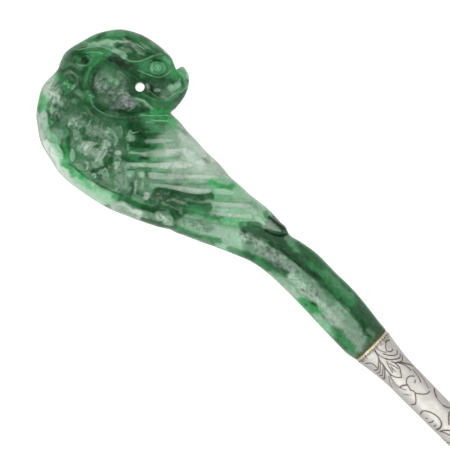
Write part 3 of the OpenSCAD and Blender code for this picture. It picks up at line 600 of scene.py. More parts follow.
    ("ash", 1.5, 0.75, (89.5, -8), (95.5, -14), (99.5, -18.3)),
    ("smoke", 0.4, 0.6, (90.6, -7.6), (92.4, -10.2)),
    ("ash", 1, 0.6, (109, -26.5), (112, -30)),
    ("ash", 1.3, 0.65, (122, -45), (126, -52), (128, -56)),
    ("lilac", 0.35, 0.5, (115.6, -42.5), (117.4, -44)),
    ("deep", 0.65, 0.9, (92.5, -4.8), (97, -9), (102, -13.2), (106, -17.4), (109.4, -20.6)),
    ("ink", 0.6, 0.85, (109.2, -20.3), (111, -22.4)),
    ("deep", 0.4, 0.75, (112.4, -23.6), (116.4, -29), (121, -34.4), (125, -40), (128.2, -44.5),
     (130.4, -50)),
    ("emerald", 0.3, 0.35, (117, -28), (119, -31.5)),
    ("mist", 0.9, 0.85, (117, -34.6), (121.2, -39.8), (125, -45.6)),
    ("pearl", 0.6, 0.35, (117, -37), (121, -42)),
    ("green", 1.1, 0.7, (88, -14), (93, -17.2), (97, -20.4)),
    ("bottle", 0.8, 0.75, (90, -13.6), (95, -17.4), (98.6, -20.6)),
    ("smoke", 0.4, 0.7, (93, -16), (97.4, -19.4)),
    ("emerald", 0.85, 0.95, (104.8, -33.4), (107.6, -36.8)),
    ("leaf", 0.9, 0.7, (107, -37.6), (111, -41)),
    ("emerald", 0.5, 0.6, (108, -36.4), (111.4, -39.4)),
    ("deep", 0.3, 0.9, (108.6, -34.8), (110.3, -35.8)),
    ("mint", 1.2, 0.7, (110.5, -42.4), (114.6, -46.6)),
    ("leaf", 0.75, 0.6, (114, -45.4), (118, -50)),
    ("green", 0.8, 0.95, (118.4, -49.6), (121.6, -53), (124.6, -57)),
    ("mist", 0.5, 0.6, (123, -58.6), (127, -61)),
    ("ash", 0.5, 0.4, (131, -47.6), (133, -50)),
    ("smoke", 0.8, 0.7, (129.6, -57), (133, -52.6), (137.4, -48)),
]

# A stroke spreads to this share of its half width, and has its full strength up to the second one
STROKE_SPREAD = 1.25
STROKE_FLAT = 0.4
# Noise in the stone: size in mm and two seeds, for broad clouds and for fine ones
STONE_NOISES = [(2.4, 11, 12), (0.8, 13, 14)]
# Smooth noise comes from this many values, read in these strides and moved on for each octave
NOISE_VALUES = 4096
NOISE_STRIDES = (1, 57, 1619)
NOISE_SHIFT = 31.7
# How far either noise moves a stroke's edge: share of the half width, which counts up to so many mm
BROAD_WAVER = 0.55
BROAD_WIDEST = 1.6
FINE_WAVER = 0.6
FINE_WIDEST = 0.7
# How far the fine noise moves the edges of carved shapes and sharp strokes, in mm
SHAPE_WAVER = 0.08
SHARP_WAVER = 0.1
# It also varies how strong their tint is: mean and swing
GRAIN_MEAN = 0.88
GRAIN_SWING = 0.24
# Specks: size in mm, seed, and strength where the stone is polished
SPECK_SIZE = 0.5
SPECK_SEED = 15
POLISHED_SPECKS = 0.12
# Tints of the light and dark specks, how strongly the noise lays them, and the most of each
SPECK_TINTS = [("pearl", 0.75, 0.4), ("deep", -1.3, 0.6)]
# Light let through the thin edges is painted in as a paler tint near the rim, which also lifts the steep
# sides out of their shade: how far in, in mm, how strongly and how unevenly
THIN_EDGE = 0.9
PAINTED_GLOW_STRENGTH = 0.3
THIN_MEAN = 0.85
THIN_SWING = 0.5
# The thick sides have their own clouds: how far in they reach, and half their height, in mm
SIDE_REACH = 1.0
SIDE_HALF = 1.4
# Their tints: mean strength, how much noise adds to it, from which of its seeds, and the most of it
SIDE_TINTS = [
    ("leaf", 0.6, 0, 0, 0.6),
    ("green", 0.2, 1.4, 1, 0.7),
    ("mint", 0, 1.8, 0, 0.75),
    ("deep", 0, -1.6, 1, 0.4),
]
# Old cement stains the last of the neck: length and fading in mm, waver and strength
JOINT_STAIN = 0.9
JOINT_STAIN_FADE = 0.54
JOINT_STAIN_WAVER = 0.5
JOINT_STAIN_STRENGTH = 0.75

# Stone left unpolished between the carving: strength, half width in mm, then places in percent
ROUGH_PATCHES = [
    (0.9, 3.2, (27.5, 71), (32, 67.5)),
    (0.9, 1.5, (34, 63), (39, 62)),
    (0.55, 4.6, (18, 52), (24, 42), (27, 33)),
    (0.8, 2.4, (7, 71), (10, 63), (6, 58)),
    (0.6, 1.3, (34, 93), (41, 88)),
    (0.4, 2.4, (32, 26), (41, 23)),
    (0.4, 1.8, (47, 18), (58, 14)),
    (0.9, 1.2, (49, 7), (52, 6)),
    (0.5, 1, (57, 5), (65, 3)),
    (0.9, 1.3, (81.5, -2), (87, -5)),
    (0.7, 1.7, (88, -7), (94, -12), (100, -19), (107, -27.4), (112.6, -34.5)),
    (0.2, 1.3, (114.6, -37.5), (122, -47.5), (128, -56)),
    (0.6, 0.9, (129, -50), (133, -52)),
]

# A patch keeps its full strength up to this share of its half width
PATCH_FLAT = 0.5

# Sharp last touches: tint, half width in mm, strength, then places in percent of the bird
SHARP_STROKES = [
    # Black streaks along the wing's tip
    ("ink", 0.42, 0.95, (92, 7.4), (94.6, 5), (97.6, 2), (99.2, 0.4), (98.6, -1.1), (96.4, -1.6)),
    ("ink", 0.3, 0.75, (93.6, 8), (96.6, 5), (99.4, 1.8)),
    ("ink", 0.36, 0.9, (96.4, -1.6), (93.6, -1), (90.4, 0.7)),
    # Dark edges of the comb, of the lower beak and of the rump
    ("deep", 0.3, 0.6, (37, 99.2), (41, 97.6), (45.3, 95.2)),
    ("smoke", 0.4, 0.7, (59.2, 68.2), (56.8, 64), (54.2, 60.6)),
    ("bottle", 0.8, 0.9, (42, 5.8), (45.4, 4.2), (49.5, 2.2)),
    ("deep", 0.16, 0.7, (49.4, 89), (52.6, 86)),
    # Painted highlight along the crown's right edge
    ("pearl", 0.2, 0.8, (50.3, 89.6), (53.9, 85.6), (54.4, 83)),
    # Head: darker side of the crown, rings round the eye, their pale ones partly painted highlights, and
    # dark below it
    ("bottle", 1, 0.5, (37, 94.8), (41, 93.4), (45, 89.8)),
    ("deep", 0.3, 0.4, (35.4, 95.8), (38.4, 94.2)),
    ("ink", 0.4, 0.25, (41.4, 96), (44.6, 94)),
    ("mint", 0.13, 0.5, (39.6, 92.2), (41.6, 90)),
    ("mint", 0.13, 0.5, (41.2, 92.8), (43.4, 90.2)),
    ("mint", 0.13, 0.45, (43.2, 92.4), (45.4, 89.6)),
    ("mint", 0.25, 0.4, (40.8, 87.6), (42.8, 87)),
    ("deep", 0.45, 0.4, (38.4, 86.6), (41.4, 85.6), (45.4, 87.8)),
    ("leaf", 0.11, 0.6, (45.2, 80.3), (45.9, 82.4), (48, 83.3), (50.1, 82.4), (50.8, 80.3), (50.1, 78.4),
     (48, 77.7), (45.9, 78.4), (45.2, 80.3)),
    ("deep", 0.11, 0.45, (44.2, 80.3), (45.2, 83), (48, 84.2), (50.9, 83), (51.9, 80.3), (50.8, 77.9)),
    ("mint", 0.11, 0.45, (46.8, 80.3), (47.2, 81.5), (48, 82), (48.8, 81.5), (49.2, 80.3), (48.8, 79.3),
     (48, 78.9), (47.2, 79.3), (46.8, 80.3)),
    ("leaf", 0.12, 0.5, (42.4, 81.4), (43.6, 83.4), (45.2, 84.4)),
    ("leaf", 0.12, 0.5, (52.4, 82.2), (52.9, 80), (52.2, 78)),
    # Painted highlight along the crown's right edge
    ("pearl", 0.28, 0.5, (50.6, 89), (52.6, 87.2), (54, 85.2)),
    ("deep", 0.45, 0.4, (43.4, 74.6), (47, 73.8), (51, 74.6)),
    ("smoke", 1.2, 0.4, (47.6, 65.4), (50.4, 62.4)),
    # Broad corrections of tone
    ("mist", 0.9, 0.35, (20, 92.6), (28.6, 93.4)),
    ("smoke", 0.9, 0.3, (24.6, 65.6), (27, 62.4)),
    ("smoke", 1, 0.4, (10.4, 58.6), (16.6, 58.4)),
    ("leaf", 1, 0.4, (19.6, 24), (22.8, 21.4)),
    ("mist", 0.8, 0.3, (33.6, 11.8), (37, 10)),
    ("mint", 0.5, 0.35, (25, 36.6), (26.2, 33.2)),
    ("deep", 1, 0.4, (47, 76), (52, 75.6)),
    ("mist", 0.8, 0.25, (28, 58.4), (31.6, 57.4)),
    ("milk", 1.4, 0.3, (60.6, 37.6), (65.6, 32.6)),
    ("smoke", 0.9, 0.2, (96, -24), (102.4, -25)),
    ("green", 1, 0.35, (114.6, -29), (118, -32.4)),
    ("emerald", 0.8, 0.4, (110.2, -35.8), (112.8, -38.2)),
    ("smoke", 0.4, 0.5, (134.6, -57.4), (136.6, -58.6)),
    # Nape, cheek rim and breast
    ("green", 0.9, 0.4, (18.4, 93), (22, 95)),
    ("deep", 0.35, 0.4, (22.6, 94.2), (24.6, 95.6)),
    ("bottle", 0.5, 0.5, (15.4, 91), (18.6, 92.2)),
    ("green", 0.5, 0.35, (12.4, 88), (15.2, 89.6)),
    ("deep", 0.35, 0.4, (14.4, 88.4), (18.8, 88.4)),
    ("bottle", 0.6, 0.4, (11.6, 84.8), (12, 80.6)),
    ("bottle", 0.5, 0.45, (9.6, 77.6), (10.8, 75.2)),
    ("leaf", 0.5, 0.4, (8, 77.4), (8.6, 74.8)),
    ("smoke", 0.8, 0.45, (17.2, 78), (18.6, 74.2)),
    ("mist", 0.7, 0.35, (7.6, 73.6), (8.6, 71.2)),
    ("deep", 0.9, 0.35, (21, 82.6), (21.6, 74)),
    # Painted highlights along the cheek rim
    ("leaf", 0.16, 0.45, (20.4, 75.4), (20.8, 78.4), (21.8, 80.4)),
    ("leaf", 0.15, 0.35, (21.4, 74.2), (21.8, 77.6)),
    ("bottle", 0.9, 0.35, (15.6, 77), (17.4, 74.6)),
    ("deep", 0.3, 0.5, (21.2, 72.4), (22.2, 69.8), (23.6, 68.2)),
    ("bottle", 0.6, 0.4, (12.8, 66.8), (14.4, 64.4)),
    ("mint", 0.15, 0.5, (8.4, 66.6), (9.6, 65.6)),
    ("mint", 0.15, 0.5, (7, 64.6), (8.4, 64.8), (9.2, 63.6)),
    ("smoke", 0.14, 0.5, (7.8, 65.6), (8.8, 64.4), (8.4, 62.6)),
    ("smoke", 0.14, 0.5, (9.8, 67.4), (10.4, 65)),
    ("smoke", 0.14, 0.5, (6.4, 66), (6.8, 63.6), (5.8, 62.4)),
    ("mint", 0.14, 0.45, (12, 70.4), (13.2, 68.8)),
    ("emerald", 0.8, 0.45, (18.4, 27), (20, 25), (20.8, 23.2)),
    ("pearl", 0.8, 0.5, (13.6, 25.4), (18.4, 20.8), (23, 17.2)),
    ("pearl", 1, 0.25, (9.6, 29.8), (13.6, 25.4)),
    # The neck's pale band, partly unpolished stone and partly a painted reflection of the soft box, with its
    # ragged dark edge, and the greens beside it
    ("pearl", 0.6, 0.4, (81, -2.2), (85, -3.4), (88.6, -6)),
    ("lilac", 1.2, 0.28, (90.5, -10), (96, -15.4)),
    ("mint", 0.9, 0.35, (101, -21.4), (105, -26)),
    ("lilac", 0.7, 0.22, (109, -27.6), (112, -31.6)),
    ("green", 0.9, 0.55, (105.6, -34.2), (108.8, -38.2)),
    ("bottle", 0.35, 0.6, (106.4, -35.4), (106.8, -36.4)),
    ("deep", 0.3, 0.6, (109.6, -35), (110.2, -35.8)),
    ("ink", 0.22, 0.5, (81.2, 0.9), (82.4, 0.5)),
    ("deep", 0.2, 0.6, (82, -1.9), (83.2, -2.7)),
    ("deep", 0.2, 0.6, (84, -2.6), (85, -3.8)),
    ("smoke", 0.22, 0.6, (83, -4.8), (84.4, -5.8)),
    ("smoke", 0.22, 0.6, (88.4, -6.4), (89.4, -7.4)),
    ("ink", 0.2, 0.5, (94.6, -9.4), (96, -10.2)),
    ("ink", 0.2, 0.5, (100.6, -12.8), (101.8, -14.2), (103.4, -14.8)),
    ("ink", 0.2, 0.45, (103.6, -16.4), (105, -17.2)),
    ("ink", 0.22, 0.5, (106.4, -18.2), (107.4, -19.8), (109, -20.2)),
    ("ink", 0.3, 0.5, (109.6, -20.4), (110.4, -22.4)),
    ("ink", 0.2, 0.4, (113.4, -26), (114.4, -27.4)),
    ("pearl", 0.18, 0.4, (103.4, -17.6), (104.4, -18.8)),
    ("pearl", 0.18, 0.4, (108.6, -23.4), (109.8, -24.4)),
    # Belly's dark edge and speckled pale patch, and the wing's far end
    ("bottle", 0.45, 0.75, (42.2, 5.6), (46, 4.2), (50, 3.2), (54, 2.2)),
    ("mint", 0.5, 0.4, (50.6, 7.4), (52.4, 5.2)),
    ("smoke", 0.15, 0.5, (48.4, 8.6), (49.2, 6.8)),
    ("smoke", 0.15, 0.5, (50.2, 9.2), (51.6, 7.6)),
    ("smoke", 0.15, 0.5, (52.6, 6.8), (53.4, 4.8)),
    ("smoke", 0.15, 0.45, (58, 5.6), (58.4, 3.2)),
    ("smoke", 0.15, 0.45, (61.8, 4.8), (62.4, 2.6)),
    ("pearl", 2, 0.3, (80, 18.4), (87, 11)),
    ("pearl", 1, 0.25, (74, 11), (86, 10.2)),
    ("green", 0.9, 0.35, (63, 12), (68, 11)),
    # Square pale blocks by the shoulder, and the bars of the wing's root
    ("mint", 0.5, 0.55, (36.2, 29.2), (37.6, 29)),
    ("mint", 0.45, 0.5, (36.4, 28.2), (37.4, 28)),
    ("mint", 0.5, 0.6, (41, 28.8), (42, 28.6)),
    ("mint", 0.45, 0.55, (41, 27.8), (42, 27.6)),
    ("mint", 0.5, 0.55, (36.6, 33.4), (45, 33.2)),
    ("mint", 0.2, 0.5, (35.4, 32.2), (35.6, 30.4)),
    ("pearl", 0.3, 0.45, (37, 39), (40, 38.8), (43, 38.6)),
    ("mint", 0.14, 0.5, (36.2, 43.4), (36.4, 40.2)),
    ("bottle", 0.16, 0.5, (39, 30.2), (39.4, 27.6)),
    ("bottle", 0.16, 0.5, (43.2, 30.6), (43.4, 27.4)),
    ("bottle", 0.14, 0.45, (38.2, 31.4), (43.8, 31.6)),
    ("ink", 0.3, 0.35, (36.4, 56.6), (37.2, 53), (37, 50.8)),
    ("deep", 0.3, 0.5, (44, 47.6), (50, 48.4)),
    ("deep", 0.3, 0.5, (42, 41.6), (48, 42)),
    ("mint", 0.13, 0.5, (41.2, 57.4), (46, 57.2), (52, 57.6)),
    ("mint", 0.13, 0.55, (45.6, 55.2), (48, 54.6), (52, 54.6)),
    # Pale ribs and the wing's pale edge
    ("mint", 0.6, 0.3, (46, 36.2), (60, 35.6)),
    ("mint", 0.45, 0.35, (46, 30.6), (64, 30.2)),
    ("mint", 0.4, 0.3, (52, 25.2), (66, 24.6)),
    ("milk", 0.9, 0.3, (57.2, 47.4), (61.2, 43.6), (65.4, 39.4), (69.6, 35.6)),
    ("milk", 0.7, 0.3, (52, 39.8), (58, 39.2), (62, 38.8)),
    ("pearl", 1.2, 0.3, (18, 41), (24, 39)),
    # Fine pale edges of the shoulder's feathers
    ("mint", 0.15, 0.6, (28.4, 51.4), (30.4, 49.6), (31.9, 46.6), (32, 44.6), (31.2, 42.6)),
    ("mint", 0.13, 0.45, (27.6, 47.4), (28.6, 49.6), (29.8, 48.6)),
    ("mint", 0.14, 0.5, (24.6, 40.4), (26, 42.8), (27, 45.4)),
    ("mint", 0.15, 0.6, (35.8, 46), (36.4, 48.2), (37.2, 50), (38.2, 48.8), (40.2, 49.4)),
    ("mint", 0.15, 0.55, (36.2, 45.4), (37.6, 44.8), (38.9, 46), (38.4, 47.4)),
    ("pearl", 0.22, 0.7, (12.8, 51.6), (13.4, 53.4), (14.4, 53)),
    ("pearl", 0.16, 0.55, (15, 54.8), (16, 53.4), (16.2, 52)),
    ("mint", 0.14, 0.5, (17, 50.4), (17.6, 52.4)),
    ("mint", 0.14, 0.5, (20.6, 51.8), (21.4, 54.6)),
    ("pearl", 0.15, 0.6, (17.8, 41.6), (18.8, 43.4), (20.2, 44.4), (22, 44.2), (24.2, 43.4)),
    ("mint", 0.16, 0.55, (23, 34.2), (24.4, 35), (25.4, 33.8)),
    ("mint", 0.16, 0.6, (26, 29), (27.4, 31.4), (28.2, 29.6), (28.6, 27.4)),
    ("mint", 0.2, 0.6, (22.2, 28.2), (23.2, 28.8), (23.8, 27.2)),
    ("mint", 0.14, 0.5, (16, 33.6), (17, 31.4), (19, 30.6)),
    ("mint", 0.14, 0.45, (15.2, 50.6), (15, 47.6), (16.2, 45.2)),
    ("mint", 0.14, 0.45, (33.2, 52.6), (34, 49.8), (33.8, 47.6)),
    ("pearl", 0.14, 0.5, (31.4, 20.6), (33, 22.6), (34.4, 26), (33.6, 28.8)),
    ("mint", 0.14, 0.45, (35.6, 32.8), (37.4, 31.6), (40, 31.8)),
    ("mint", 0.14, 0.4, (6.2, 65.4), (7.2, 63.2), (6.4, 61.6)),
    ("pearl", 0.18, 0.6, (7.8, 67.6), (9, 66.4), (9.4, 64.6)),
    ("mint", 0.14, 0.5, (10.6, 73.6), (12.2, 72.6), (13, 70.8)),
    # Broad last tones of belly, wing, comb, cheek and neck
    ("smoke", 0.9, 0.45, (42.6, 5.6), (47.2, 4)),
    ("bottle", 0.9, 0.4, (57.4, 12.2), (61, 9.6)),
    ("bottle", 0.5, 0.4, (38.6, 94.4), (42, 92.2), (45.4, 91.6)),
    ("smoke", 1, 0.35, (29.4, 66.2), (31.4, 62.6)),
    ("smoke", 0.9, 0.35, (29.6, 71.4), (31.6, 69.6)),
    ("mint", 0.9, 0.3, (39, 17.4), (41.6, 16.2)),
    ("mint", 0.8, 0.3, (119, -35), (122.6, -38.2)),
    ("mint", 0.8, 0.25, (114.6, -46.8), (117.4, -49.6)),
    # Dark gaps between the feathers of shoulder and breast
    ("bottle", 0.16, 0.6, (24.8, 35.6), (26.6, 38.8), (27.4, 40.2)),
    ("bottle", 0.14, 0.55, (28.6, 41.6), (27.8, 43.4), (28.6, 44.8)),
    ("deep", 0.16, 0.6, (26.2, 40.2), (28.4, 40.6), (29.8, 41.8), (31.2, 41)),
    ("bottle", 0.15, 0.55, (19.8, 38.6), (20.8, 41), (22.6, 42.8)),
    ("deep", 0.45, 0.6, (28.6, 34.8), (29.8, 36), (29.4, 33)),
    ("deep", 0.3, 0.6, (22.2, 30.4), (24.4, 31.2), (27.4, 32.2), (29, 34)),
    ("deep", 0.25, 0.6, (34.2, 36.2), (36.4, 34.8)),
    ("deep", 0.35, 0.6, (10.6, 45.4), (10.2, 42.4), (11.6, 38.8)),
    ("ink", 0.3, 0.6, (38.8, 49.8), (41.2, 48.6), (43.4, 46.2)),
    ("ink", 0.3, 0.5, (37.8, 42.4), (40, 41.6), (44.2, 41.6)),
    ("ink", 0.25, 0.6, (41.4, 36.8), (43.8, 36.3)),
    ("ink", 0.35, 0.45, (7.4, 58.4), (8.4, 56.2), (9.4, 54.4)),
    ("deep", 0.25, 0.6, (8.4, 54.4), (6.2, 51.4)),
    ("deep", 0.25, 0.6, (4.2, 59.4), (5.6, 57)),
    ("deep", 0.25, 0.55, (12, 52.4), (13.6, 49.4), (13.2, 46)),
    ("deep", 0.22, 0.55, (18.6, 51.6), (19.4, 48.2), (18.6, 45.4)),
    ("deep", 0.22, 0.55, (15.6, 67.6), (14.2, 65.6), (12.4, 65.2)),
    ("deep", 0.22, 0.5, (11.2, 69.4), (10.4, 67), (11.6, 63.6)),
    # Fine lines in the cheek's rough pocket, the comb and the beak
    ("deep", 0.18, 0.6, (24.2, 68.8), (25.2, 66.4), (24.6, 64.2)),
    ("smoke", 0.16, 0.6, (28.8, 70.6), (30.2, 68.8), (30.4, 66.4)),
    ("ink", 0.25, 0.5, (29.4, 67.4), (31.4, 65.8)),
    ("pearl", 0.14, 0.5, (36, 68.2), (37.2, 66.4), (38.2, 65.8)),
    ("lilac", 0.3, 0.6, (30.2, 68.6), (31, 65.8)),
    ("deep", 0.16, 0.6, (33, 77.4), (35.4, 75.6), (36.6, 72.8)),
    ("ink", 0.22, 0.6, (36.4, 69.6), (37.8, 67.4)),
    ("deep", 0.18, 0.6, (40, 91.6), (42.4, 89.2)),
    ("mint", 0.13, 0.5, (40.8, 91.6), (42.8, 89.6)),
    ("mint", 0.13, 0.45, (42.4, 92.2), (44.8, 89.8)),
    ("deep", 0.25, 0.7, (32, 90.6), (34.4, 91.2), (36, 90)),
    ("pearl", 0.16, 0.5, (31.4, 94), (34.2, 93.2), (36.2, 93.4)),
    ("mint", 0.13, 0.5, (52.6, 66.2), (54.8, 67.8), (56.6, 69.6)),
    # Sharp dark edge of the neck's long flat face
    ("deep", 0.3, 0.75, (98, -10.2), (102, -14), (106, -18), (109.5, -21.6), (113, -26)),
    ("deep", 0.24, 0.5, (113.6, -26), (118.6, -32.6), (123.6, -39.2), (127.6, -45), (130, -50.6)),
    ("ink", 0.3, 0.7, (96.4, -8.2), (99.6, -11.2)),
    ("ink", 0.3, 0.7, (102, -14.2), (104, -16)),
    # Thin pale scratches in the dark of the wing and of the jaw
    ("mint", 0.1, 0.6, (47.6, 54.9), (52.4, 54.4)),
    ("mint", 0.1, 0.5, (49.4, 57.3), (53, 57.1)),
    ("leaf", 0.12, 0.5, (38.6, 16), (42, 14.6), (46.4, 13.2)),
    ("mint", 0.12, 0.5, (60.4, 73.6), (59.4, 71.2), (57, 68.6)),
]

# The chased scroll from the lip on, seen from above: each line's weight, then its places in mm along the
# pin and aside of it
ENGRAVED_LINES = [
    (1.6, (1.8, 3.3), (1.55, 2.9), (1.6, 2.4)),
    (1, (1.6, 2.5), (1.9, 2.1), (2.4, 1.7), (2.9, 1.42), (3.3, 1.55), (3.65, 2.05), (3.55, 2.5)),
    (0.7, (1, 0.3), (2.1, 0.55), (2.7, 0.9), (3.1, 1.15)),
    (1.1, (2.8, 0.5), (3.8, 1.05), (4.5, 1.7), (4.85, 2.3), (4.7, 2.65), (4.4, 2.95)),
    (1.2, (3.8, 0.15), (4.4, 0.45), (4.9, 0.95), (5.4, 1.6), (5.75, 2.2), (5.6, 2.6), (5.3, 2.9)),
    (1.1, (5.9, 1.1), (6.3, 1.75), (6.55, 2.2), (6.2, 2.6), (5.9, 3)),
    (1.5, (5.8, 0.95), (6.4, 1.6), (7, 2.1), (7.8, 2.55), (8.4, 2.85), (9, 3)),
    (1.2, (6.4, 1.5), (7, 1.8), (7.6, 2.05), (8.4, 2.15), (9.1, 2.1)),
    (1, (9.3, 2.5), (10.2, 2.42), (11.1, 2.3), (11.8, 2.05), (12.2, 1.8)),
    (0.8, (9.4, 2.9), (10.8, 2.85), (12, 2.7), (13.2, 2.4), (14.2, 2.1)),
    (0.8, (1, -0.15), (2, -0.3), (3.2, -0.1), (4.2, 0.2)),
    (1.1, (5.1, 0.6), (6, 0.9), (7, 0.88), (7.7, 0.5), (8.3, 0.1), (8.75, -0.25)),
    (1, (7, -1.4), (7.8, -1.1), (8.3, -0.75), (8.75, -0.25)),
    (1.3, (2.9, -0.95), (3.7, -1.1), (4.5, -1.1), (5.4, -1.3), (6.3, -1.4), (7.1, -1.4)),
    (1, (4.4, -0.1), (5.1, -0.4), (5.9, -0.6), (6.8, -0.85)),
    (0.8, (5, -0.05), (5.8, 0.15), (6.4, 0.4), (7, 0.5)),
    (0.7, (6.1, -0.2), (7.1, -0.25)),
    (0.7, (5.7, -0.2), (6.7, -0.55)),
    (1.2, (1.1, -0.3), (1.9, -0.45), (2.7, -0.7), (3.2, -1.15), (3.7, -1.7), (4.15, -2.2), (4.3, -2.7),
     (4, -3.1)),
    (0.9, (3.8, -1.2), (4.3, -1.8), (4.8, -2.3), (5.05, -2.8), (4.8, -3.2)),
    (1, (4.4, -1.15), (5.1, -1.85), (5.6, -2.4), (5.8, -2.8), (5.5, -3.15)),
    (1.2, (5, -1.3), (5.8, -2), (6.3, -2.5), (6.6, -2.85), (6.3, -3.1)),
    (1, (1.8, -3.5), (2.2, -2.85), (2.8, -2.5), (3.4, -2.4), (4, -2.4)),
    (1.3, (0.7, -3.65), (1.2, -3.4)),
    (1, (6.8, -1.5), (7.3, -1.8), (8.1, -2), (9.2, -2.1), (10, -1.95)),
    (0.8, (6.8, -1.9), (7.4, -2.3), (8.2, -2.75), (9, -2.95)),
    (0.6, (8.4, -2.35), (9.2, -2.45), (10, -2.3)),
    (1.1, (10.4, 1.75), (9.8, 1.2), (9.65, 0.7), (9.8, 0.1), (10.3, -0.35), (11.1, -0.55), (11.9, -0.7),
     (12.4, -0.45), (13, -0.5)),
    (1.1, (13, -0.45), (13.7, 0.05), (14.3, 0.6), (14.7, 1.2), (14.75, 1.8)),
    (1.5, (10.7, -0.45), (10.3, -0.9), (10, -1.5), (10.05, -1.95)),
    (0.8, (10.1, -1.9), (10.7, -1.7), (11.2, -1.4)),
    (1.2, (13, -0.6), (13.8, -1.2), (14.4, -1.8), (14.5, -2.2), (14.1, -2.7)),
    (1.1, (11.1, 1.35), (11.4, 0.9)),
    (0.6, (11.8, -2), (12.7, -1.4)),
    (0.6, (11.3, -2.4), (12.4, -1.9)),
    (1.7, (15.1, 2.85), (15.7, 2.4), (16.5, 2)),
    (0.7, (16.5, 2), (17.4, 1.8), (18.6, 1.78)),
    (1.3, (18.6, 1.78), (19.3, 1.95), (20, 2.35)),
    (1.6, (20.5, 1.7), (21, 0.95), (21.6, 0.4), (22.1, -0.1)),
    (1.2, (16.8, -2.75), (16.55, -2.2), (16.8, -1.7), (17.4, -1.25), (18.2, -0.9), (19.3, -0.65),
     (20.2, -0.75), (20.8, -0.9)),
    (1.7, (20.7, -0.9), (21.2, -1.3), (21.4, -1.9), (21.3, -2.6)),
    (0.8, (18.3, -2.3), (18.1, -2.6)),
    (1, (19.45, -1.8), (19.4, -2.3), (19.15, -2.8)),
    (1, (20.4, -2), (20.45, -2.5)),
    (1.5, (22, -2.4), (22.2, -1.85), (22.7, -1.25), (23.2, -0.75)),
    (1.3, (22.2, -2.2), (22.9, -1.9), (23.9, -1.5)),
]
# The scroll starts again this far on and ends here, with two turned lines this far before its end, in mm
SCROLL_REPEAT = 22.8
SCROLL_END = 36.0
TURNED_LINES = (0.9, 0.2)
# Depth and half width of a chased line, and how far from a line its dirt and painted shade can reach, in mm
CHASED_DEPTH = 0.07
CHASED_HALF = 0.16
CHASED_REACH = 4 * CHASED_HALF
# A line drawn past this share of the silver's radius is held back to it
BEND_LIMIT = 0.97

# The lip from jade to silver in mm: place along it, inset from the neck, and depth of its notches
LIP_PROFILE = [
    (0, 0.06, 0),
    (0.12, 0.09, 0),
    (0.18, 0.02, 0),
    (0.3, 0, 0.02),
    (0.5, 0, 0.1),
    (0.64, 0.02, 0.14),
    (0.7, 0.05, 0.14),
]
# The notches round the lip, and how their spacing wavers
NOTCHES = 40
NOTCH_WAVES = 5
NOTCH_WAVER = 1.6
# Cement in the joint up to this far, and in the notches from this far on, in mm
JOINT_CEMENT_END = 0.12
JOINT_CEMENT = 0.6
NOTCH_CEMENT_START = 0.4
NOTCH_CEMENT_FADE = 0.2
NOTCH_CEMENT = 0.65

# How finely the jade is drawn: mm between rungs, quads across each face, and sides of the hole
JADE_NECK_STEP = 0.36
JADE_BIRD_STEP = 0.245
UPPER_COLUMNS = 130
LOWER_COLUMNS = 90
HOLE_SIDES = 48
# Points left closer than this on the drilled hole's rim, in mm, are joined
RIM_JOIN = 0.03
# No rung is rounded over less than this, in mm
LEAST_ROUNDING = 0.05
# How finely the silver and the lip are drawn: rows along the silver, and columns round each
SCROLL_ROWS = 340
PLAIN_ROWS = 60
TIP_ROWS = 14
SHANK_COLUMNS = 210
LIP_COLUMNS = 288
# Length of the silver's rounded tip as a share of its diameter, and how fast the flared mouth narrows
TIP_SHARE = 0.8
FLARE_POWER = 1.5
# Faces that meet at more than this have a sharp edge between them
JADE_EDGE = math.radians(60)
METAL_EDGE = math.radians(50)

# Noise in the materials: size in mm, detail and roughness, and the jade's distortion
JADE_NOISES = [
    # Clouds inside the stone
    (3.2, 6, 0.62, 0.6),
    # Flecks
    (0.5, 3, 0.65, 0),
    # Slow swell that polishing leaves
    (1.1, 3, 0.6, 0),
    # Grain of unpolished stone, finer in truth and drawn this coarse so that it shows
    (0.45, 3, 0.65, 0),
]
SILVER_NOISES = [
    # Wear
    (2.5, 5, 0.65),
    # Scratches from rubbing, finer in truth and drawn this coarse so that they show
    (0.35, 2, 0.6),
    # Ragged edge of the dirt at the mouth
    (0.5, 3, 0.6),
]
# A Mix node's two colour sockets, which share their names with others
MIX_A = 6
MIX_B = 7

# The camera looks straight down. Its view's middle is in mm along and aside of the pin.
VIEW_MIDDLE = (-37.55, -3.89)
VIEW_WIDTH = 0.09
CAMERA_HEIGHT = 0.75
SENSOR = 36.0
# Two soft boxes lie above the pin, with their ends and sides in degrees from straight up
SOFTBOX_HEIGHT = 0.34
SOFTBOX_ENDS = (-50, 50)
SOFTBOX_SIDES = ((-66, -13), (13, 40))
# Watts for each square metre of a soft box, and the light from all round and from below
SOFTBOX_WATTS = 2.9
ROOM_STRENGTH = 0.6
TABLE_STRENGTH = 0.97
TABLE_SIZE = 3.0


def length_property(name, millimetres, description):
    """A length that a user may change."""
    return FloatProperty(name=name, description=description, default=millimetres * MM, unit="LENGTH")


def colour_property(name, hex_colour, description):
    """A colour that a user may change."""
    return FloatVectorProperty(
        name=name, description=description, default=linear(hex_colour), subtype="COLOR", min=0, max=1)


class HairpinJadeSizes(bpy.types.PropertyGroup):
    """Sizes of the jade"""

    bird_width: length_property("Bird width", 50.5, "From the breast to the wing's tip")
    bird_height: length_property("Bird height", 40.6, "From the rump to the crown")
    bird_thickness: length_property("Bird thickness", 10.4, "Through the bird's body")
    edge_rounding: length_property("Edge rounding", 4.6, "How far in each face is rounded over")
    neck_length: length_property("Neck length", 29.2, "From the bird's rump to the lip")
    pin_lean: FloatProperty(
        name="Pin lean", description="Between the pin and the bird's width",
        default=math.radians(45.3), subtype="ANGLE")
    tenon_length: length_property("Tenon length", 8, "Hidden round post inside the silver")


